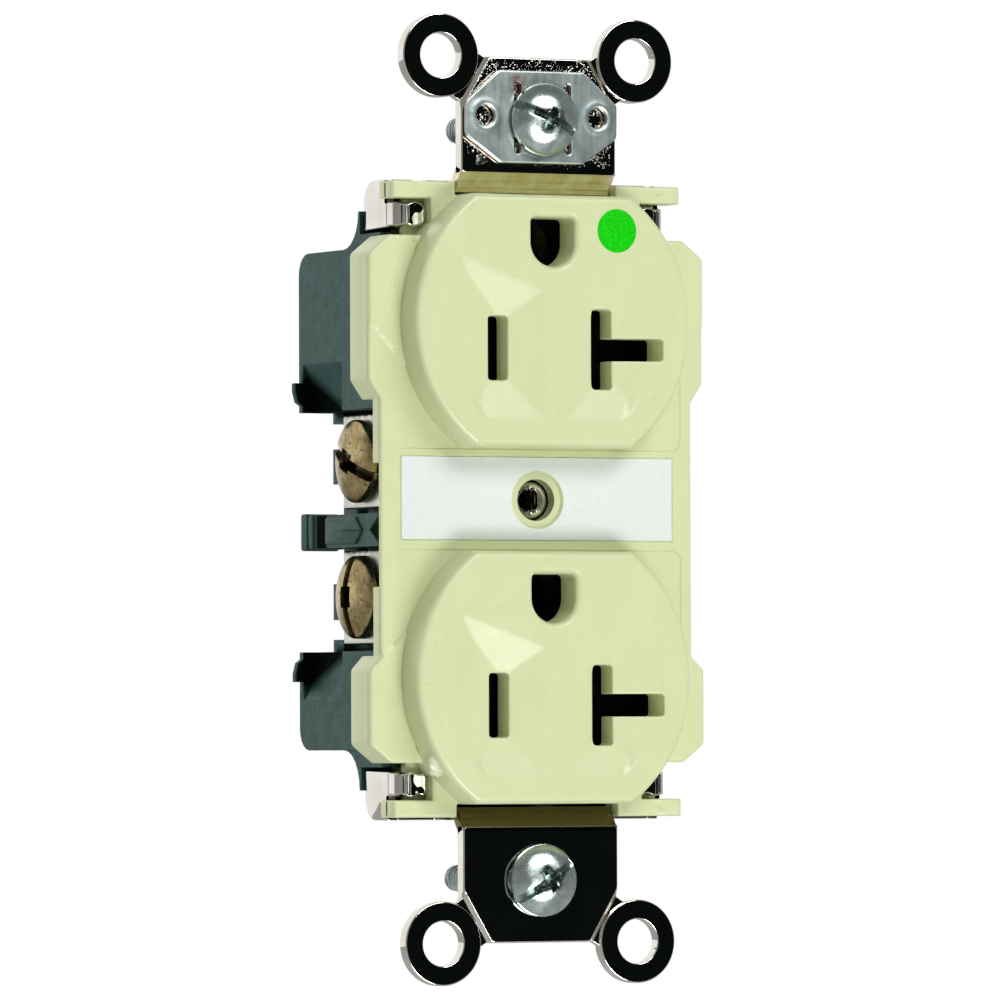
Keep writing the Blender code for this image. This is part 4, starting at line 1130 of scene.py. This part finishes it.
def make_clip():
    """Grounding plate under the upper mounting screw, with two pressed eyes and two slits."""
    build = Builder()
    half = [(5.0, 36.9, 0.6), (9.3, 39.8, 0.9), (9.3, 43.5, 0.9), (5.2, 47.0, 0.5)]
    outline = resample(rounded(mirrored(half), 0.5, 5), 0.35)
    eyes = [circle((side * CLIP_EYE[0], CLIP_EYE[1]), 1.15, 36) for side in (-1, 1)]
    slits = [resample(rounded(rectangle(x - 0.42, x + 0.42, 37.9, 45.7), 0.4, 5), 0.4) for x in (-2.95, 3.2)]
    middle = circle((0, MOUNT_Z), 2.0, 36)
    front_y = -STRAP_T - 0.3 - 0.6

    def front(points):
        x, z = points[:, 0], points[:, 1]
        depth = front_y + 0.1 + 0.05 * np.sin(0.55 * x + 0.4) * np.sin(0.6 * z)
        depth = depth + 0.035 * (np.abs(x) / 9.3) ** 2
        away = np.hypot(np.abs(x) - CLIP_EYE[0], z - CLIP_EYE[1])
        depth = depth - 0.09 * np.exp(-((away - 1.55) / 0.3) ** 2)
        return depth + eased(points, 0.14, outline) + eased(points, 0.12, *eyes, *slits)
    build.plate(outline, eyes + slits + [middle], 0.3, front, front_y + 0.6, rings=(0.03, 0.08, 0.14, 0.3))
    clip = build.object("grounding_plate", MATERIALS["clip"], 40)
    return present(clip, "root", "zinc_clip", "ground_clip")


# ---------------------------------------------------------------- screws

def slot_creases(tilt, reach, gaps, square=()):
    """Points along the edges of a drive slot and of a square socket."""
    lines = []
    for gap in gaps:
        for side in (-1, 1):
            lines += along_line((-reach, side * gap), (reach, side * gap), 0.14)
    for half in square:
        lines += resample(rectangle(-half, half, -half, half), 0.1)
    return [turned(a, b, -tilt) for a, b in lines]


def screw_head(build, centre, way, radius, height, recess, skirt=0.45, spacing=0.16, marks=()):
    """A domed screw head; recess(u, v) is the depth cut into the dome by the drive."""
    outline = circle((0, 0), radius, 88)

    def front(points):
        share = np.clip(np.hypot(points[:, 0], points[:, 1]) / radius, 0, 1)
        dome = (height - skirt) * (1 - share ** 2) ** 0.85
        dome = dome - eased(points, 0.22, outline)
        cut = recess(points[:, 0], points[:, 1])
        return skirt + 0.22 + dome * (height - skirt - 0.22) / (height - skirt) - cut

    def warp(u, v, d):
        if way == "-Y":
            return (centre[0] + u, centre[1] - d, centre[2] + v)
        sign = -1 if way == "-X" else 1
        return (centre[0] + sign * d, centre[1] + u, centre[2] + v)
    build.plate(outline, [], spacing, front, 0.0, rings=(0.03, 0.09, 0.17, 0.26), warp=warp, marks=marks)


def turned(u, v, tilt):
    """Coordinates along and across a drive slot that is tilted by some degrees."""
    c, s = cos(radians(tilt)), sin(radians(tilt))
    return u * c + v * s, v * c - u * s


def mounting_recess(tilt):
    """A slot with a Phillips cross at its middle."""
    def recess(u, v):
        a, b = turned(u, v, tilt)
        away = np.hypot(a, b)
        slot = 0.75 * (1 - smooth_step(np.abs(b), 0.34, 0.5))
        reach = 1.95 - 0.25 * np.abs(b) / 0.45
        arm_wide = 0.5 - 0.10 * away
        arms = np.maximum(1 - smooth_step(np.abs(a), arm_wide - 0.08, arm_wide + 0.08),
                          1 - smooth_step(np.abs(b), arm_wide - 0.08, arm_wide + 0.08))
        cross = (1.55 - 0.35 * away) * arms * (1 - smooth_step(away, reach - 0.15, reach + 0.1))
        return np.maximum(slot, cross)
    return recess


def terminal_recess(tilt):
    """A full-width slot with a square socket at its middle."""
    def recess(u, v):
        a, b = turned(u, v, tilt)
        slot = 1.05 * (1 - smooth_step(np.abs(b), 0.5, 0.62))
        square = 1.5 * (1 - smooth_step(np.maximum(np.abs(a), np.abs(b)), 1.05, 1.17))
        return np.maximum(slot, square)
    return recess


def thread(build, centre, start, stop, core, crest, axis="Y"):
    """A helical ridge wound on a shank."""
    pitch = THREAD_PITCH
    turns = (stop - start) / pitch
    steps = int(turns * 20)
    rings = []
    for i in range(steps + 1):
        angle = 2 * pi * turns * i / steps
        along = start + (stop - start) * i / steps
        grow = min(1.0, 6 * i / steps, 6 * (steps - i) / steps)
        top = core + (crest - core) * grow
        ring = []
        for radius, shift in ((core - 0.1, -0.36 * pitch), (top, -0.06 * pitch), (top, 0.06 * pitch),
                              (core - 0.1, 0.36 * pitch)):
            u, v = radius * cos(angle), radius * sin(angle)
            depth = along + shift
            if axis == "Y":
                ring.append((centre[0] + u, depth, centre[2] + v))
            else:
                ring.append((depth, centre[1] + u, centre[2] + v))
        rings.append(ring)
    build.loft(rings)


def make_mounting_screws():
    for name, z, seat, tilt in (("upper", MOUNT_Z, -2.6, -24.0), ("lower", -MOUNT_Z, -1.7, 33.0)):
        build = Builder()
        screw_head(build, (0, seat, z), "-Y", 3.95, 2.2, mounting_recess(tilt),
                   marks=slot_creases(tilt, 3.9, (0.36, 0.48)))
        build.lathe([(0, -0.1), (1.42, -0.1), (1.42, 21.2), (1.0, 22.1), (0, 22.2)], (0, seat, z), "+Y", 40)
        thread(build, (0, seat, z), seat + 0.8, seat + 21.4, 1.42, 1.75)
        screw = build.object("mounting_screw_" + name + "_look", MATERIALS["screw"], 30)
        present(screw, "mounting_" + name, "zinc_screw", "mounting_screw_" + name)


def make_terminals():
    shank = [(0, -0.1), (2.1, -0.1), (2.1, 5.9), (1.7, 6.3), (0, 6.4)]
    sides = ((-1, "hot", "aged", "screw_brass"), (1, "neutral", "silver", "screw_silver"))
    for row, z, tilt in (("upper", TERMINAL_Z[0], 24.0), ("lower", TERMINAL_Z[1], 90.0)):
        for side, name, key, slot in sides:
            outward, inward = ("-X", "+X") if side < 0 else ("+X", "-X")
            seat = (side * TERMINAL_X, TERMINAL_Y, z)
            build = Builder()
            lean = tilt if side < 0 else 40.0 + 3 * z
            screw_head(build, seat, outward, 4.6, 1.85, terminal_recess(lean), skirt=0.35,
                       marks=slot_creases(lean, 4.55, (0.5, 0.62), (1.05, 1.17)))
            build.lathe(shank, seat, inward, 40)
            ends = sorted((side * (TERMINAL_X - 1.6), side * (TERMINAL_X - 6.1)))
            thread(build, (0, TERMINAL_Y, z), ends[0], ends[1], 2.1, 2.4, "X")
            label = name + "_" + row
            screw = build.object("terminal_screw_" + label + "_look", MATERIALS[key], 30)
            present(screw, "screw_" + label, slot, "terminal_screw_" + label)

            plate = Builder()
            outline = resample(rounded(rectangle(9.3, 18.9, z - 5.2, z + 5.2), 0.35, 4), 0.6)
            hole = circle((TERMINAL_Y, z), 2.6, 48)

            def front(points, outline=outline, hole=hole):
                seam = np.exp(-((points[:, 0] - 12.3) / 0.07) ** 2)
                return 0.1 + 0.07 * seam + eased(points, 0.18, outline) + eased(points, 0.12, hole)

            def warp(u, v, d, side=side):
                return (side * (14.2 - d), u, v)
            plate.plate(outline, [hole], 0.42, front, 1.1, rings=(0.05, 0.12, 0.18), warp=warp)
            made = plate.object("pressure_plate_" + label + "_look", MATERIALS["bright"], 40)
            present(made, "plate_" + label, "zinc_plate", "pressure_plate_" + label)


def make_bushing():
    """Threaded bushing behind the middle hole, with its thread cut inside."""
    build = Builder()
    profile = [(1.95, 0.95), (1.95, 5.6), (3.4, 5.6), (3.4, 6.55), (1.95, 6.55), (1.95, 8.9), (1.5, 8.9)]
    depth = 8.7
    while depth > 1.3:
        profile += [(1.5, depth), (1.28, depth - 0.28), (1.5, depth - 0.56)]
        depth -= THREAD_PITCH
    profile += [(1.5, 0.95), (1.72, 0.8)]
    build.lathe(profile, (0, 0, 0), "+Y", 48)
    bushing = build.object("cover_screw_bushing", MATERIALS["nickel"], 30)
    return present(bushing, "root", "nickel_strap", "plate_screw_bushing")


# ---------------------------------------------------------------- carried-over CAD nodes

def soften(node, material, width=0.15, segments=2):
    """Give a CAD node its finish and small rounded edges."""
    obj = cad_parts[node]
    obj.data.materials.clear()
    obj.data.materials.append(material)
    if width > 0:
        weld = obj.modifiers.new("weld", "WELD")
        weld.merge_threshold = 0.000002
        flat = obj.modifiers.new("planar", "DECIMATE")
        flat.decimate_type = "DISSOLVE"
        flat.angle_limit = radians(0.5)
        bevel = obj.modifiers.new("edges", "BEVEL")
        bevel.width = width * MM
        bevel.segments = segments
        bevel.limit_method = "ANGLE"
        bevel.angle_limit = radians(40)
        bevel.harden_normals = False
    return obj


def dress_cad():
    finishes = {
        "black": ["rear_body"],
        "screw": ["ground_rivet_upper", "ground_rivet_lower",
                  "assembly_screw_upper_left", "assembly_screw_upper_right",
                  "assembly_screw_lower_left", "assembly_screw_lower_right"],
        "fibre": ["screw_retainer_upper", "screw_retainer_lower"],
        "brass": ["hot_contact", "neutral_contact", "ground_contact_upper", "ground_contact_lower"],
        "bright": ["ground_clamp"],
        "green": ["ground_screw"],
    }
    for key, nodes in finishes.items():
        for node in nodes:
            soften(node, MATERIALS[key])


# ---------------------------------------------------------------- studio

def make_camera():
    """A long lens a metre away, to the left of the front and slightly below it."""
    azimuth, elevation, roll = radians(-26.853), radians(-1.469), radians(-0.181)
    distance, lens = 1042.633, 343.1
    target = Vector((-4.899, -STRAP_T, -0.059)) * MM
    back = Vector((sin(azimuth) * cos(elevation), -cos(azimuth) * cos(elevation), sin(elevation)))
    data = bpy.data.cameras.new("camera")
    data.lens = lens
    data.sensor_width = 36.0
    data.clip_start = 0.01
    data.clip_end = 50
    camera = bpy.data.objects.new("camera", data)
    look = -back
    right = look.cross(Vector((0, 0, 1))).normalized()
    up = right.cross(look)
    turned_right = right * cos(roll) + up * sin(roll)
    turned_up = -right * sin(roll) + up * cos(roll)
    rotation = Matrix((turned_right, turned_up, back)).transposed()
    camera.matrix_world = Matrix.Translation(target + back * distance * MM) @ rotation.to_4x4()
    bpy.context.scene.collection.objects.link(camera)
    bpy.context.scene.camera = camera


def stage_plane(name, centre, toward, width, height, material):
    """A flat card facing a point."""
    bm = bmesh.new()
    for u, v in ((-1, -1), (1, -1), (1, 1), (-1, 1)):
        bm.verts.new((u * width / 2, v * height / 2, 0))
    bm.faces.new(bm.verts[:])
    mesh = bpy.data.meshes.new(name)
    bm.to_mesh(mesh)
    bm.free()
    mesh.materials.append(material)
    obj = bpy.data.objects.new(name, mesh)
    obj.location = centre
    obj.rotation_mode = "QUATERNION"
    obj.rotation_quaternion = (Vector(toward) - Vector(centre)).to_track_quat("Z", "Y")
    bpy.context.scene.collection.objects.link(obj)
    return obj


def make_studio():
    scene = bpy.context.scene
    scene.view_settings.view_transform = "Standard"
    world = bpy.data.worlds.new("studio")
    scene.world = world
    world.use_nodes = True
    make_surroundings(world.node_tree)

    floor = Shader("floor")
    floor.set(Roughness=0.9)
    across, along, _ = floor.axes()
    away = floor.rise(floor.maths("SQRT", floor.square(across, along)), 300, 780)
    floor.feed(Base_Color=floor.blend(away, (0.62, 0.62, 0.62), (0.75, 0.75, 0.75)))
    stage_plane("floor", (0, 0, -0.60), (0, 0, 1), 12.0, 12.0, floor.material)

    card = Shader("black_card")
    card.set(Base_Color=(0.004, 0.006, 0.0055, 1.0), Roughness=0.95, Specular_IOR_Level=0.0)
    stage_plane("black_card", (0.31, -0.58, 0.02), (0, 0, 0), 0.70, 0.66, card.material)
    area_light("key_light", (0.14, -0.72, 0.56), (0.6, 0.36), 4.6)
    area_light("low_fill", (0.05, -0.70, -0.42), (0.42, 0.24), 3.5)
    rear_fill = area_light("rear_fill", (-0.50, 0.62, 0.08), (0.4, 0.6), 2.4)
    rear_fill.visible_glossy = False


ROOM_LIGHT = 0.27
BACKDROP_LIGHT = 1.0


def make_surroundings(tree):
    """White to the camera; a bright backdrop and a dimmer room to everything else."""
    background = tree.nodes["Background"]
    background.inputs["Color"].default_value = (1.0, 1.0, 1.0, 1.0)
    background.inputs["Strength"].default_value = 1.0
    where = tree.nodes.new("ShaderNodeTexCoord")
    parts = tree.nodes.new("ShaderNodeSeparateXYZ")
    tree.links.new(where.outputs["Generated"], parts.inputs[0])
    ramp = tree.nodes.new("ShaderNodeMapRange")
    ramp.interpolation_type = "SMOOTHSTEP"
    ramp.inputs["From Min"].default_value = 0.02
    ramp.inputs["From Max"].default_value = 0.65
    ramp.inputs["To Min"].default_value = ROOM_LIGHT
    ramp.inputs["To Max"].default_value = BACKDROP_LIGHT
    tree.links.new(parts.outputs["Y"], ramp.inputs["Value"])
    room = tree.nodes.new("ShaderNodeBackground")
    room.inputs["Color"].default_value = (1.0, 1.0, 1.0, 1.0)
    tree.links.new(ramp.outputs["Result"], room.inputs["Strength"])
    path = tree.nodes.new("ShaderNodeLightPath")
    mix = tree.nodes.new("ShaderNodeMixShader")
    tree.links.new(path.outputs["Is Camera Ray"], mix.inputs[0])
    tree.links.new(room.outputs[0], mix.inputs[1])
    tree.links.new(background.outputs[0], mix.inputs[2])
    tree.links.new(mix.outputs[0], tree.nodes["World Output"].inputs["Surface"])


def area_light(name, place_at, size, energy):
    lamp = bpy.data.lights.new(name, "AREA")
    lamp.shape = "RECTANGLE"
    lamp.size, lamp.size_y = size
    lamp.energy = energy
    light = bpy.data.objects.new(name, lamp)
    light.location = place_at
    light.rotation_mode = "QUATERNION"
    light.rotation_quaternion = (-light.location).to_track_quat("-Z", "Y")
    bpy.context.scene.collection.objects.link(light)
    return light


make_camera()
make_studio()
make_face()
make_liner()
make_rib_caps()
make_label()
make_dot()
make_strap()
make_clip()
make_mounting_screws()
make_terminals()
make_bushing()
dress_cad()
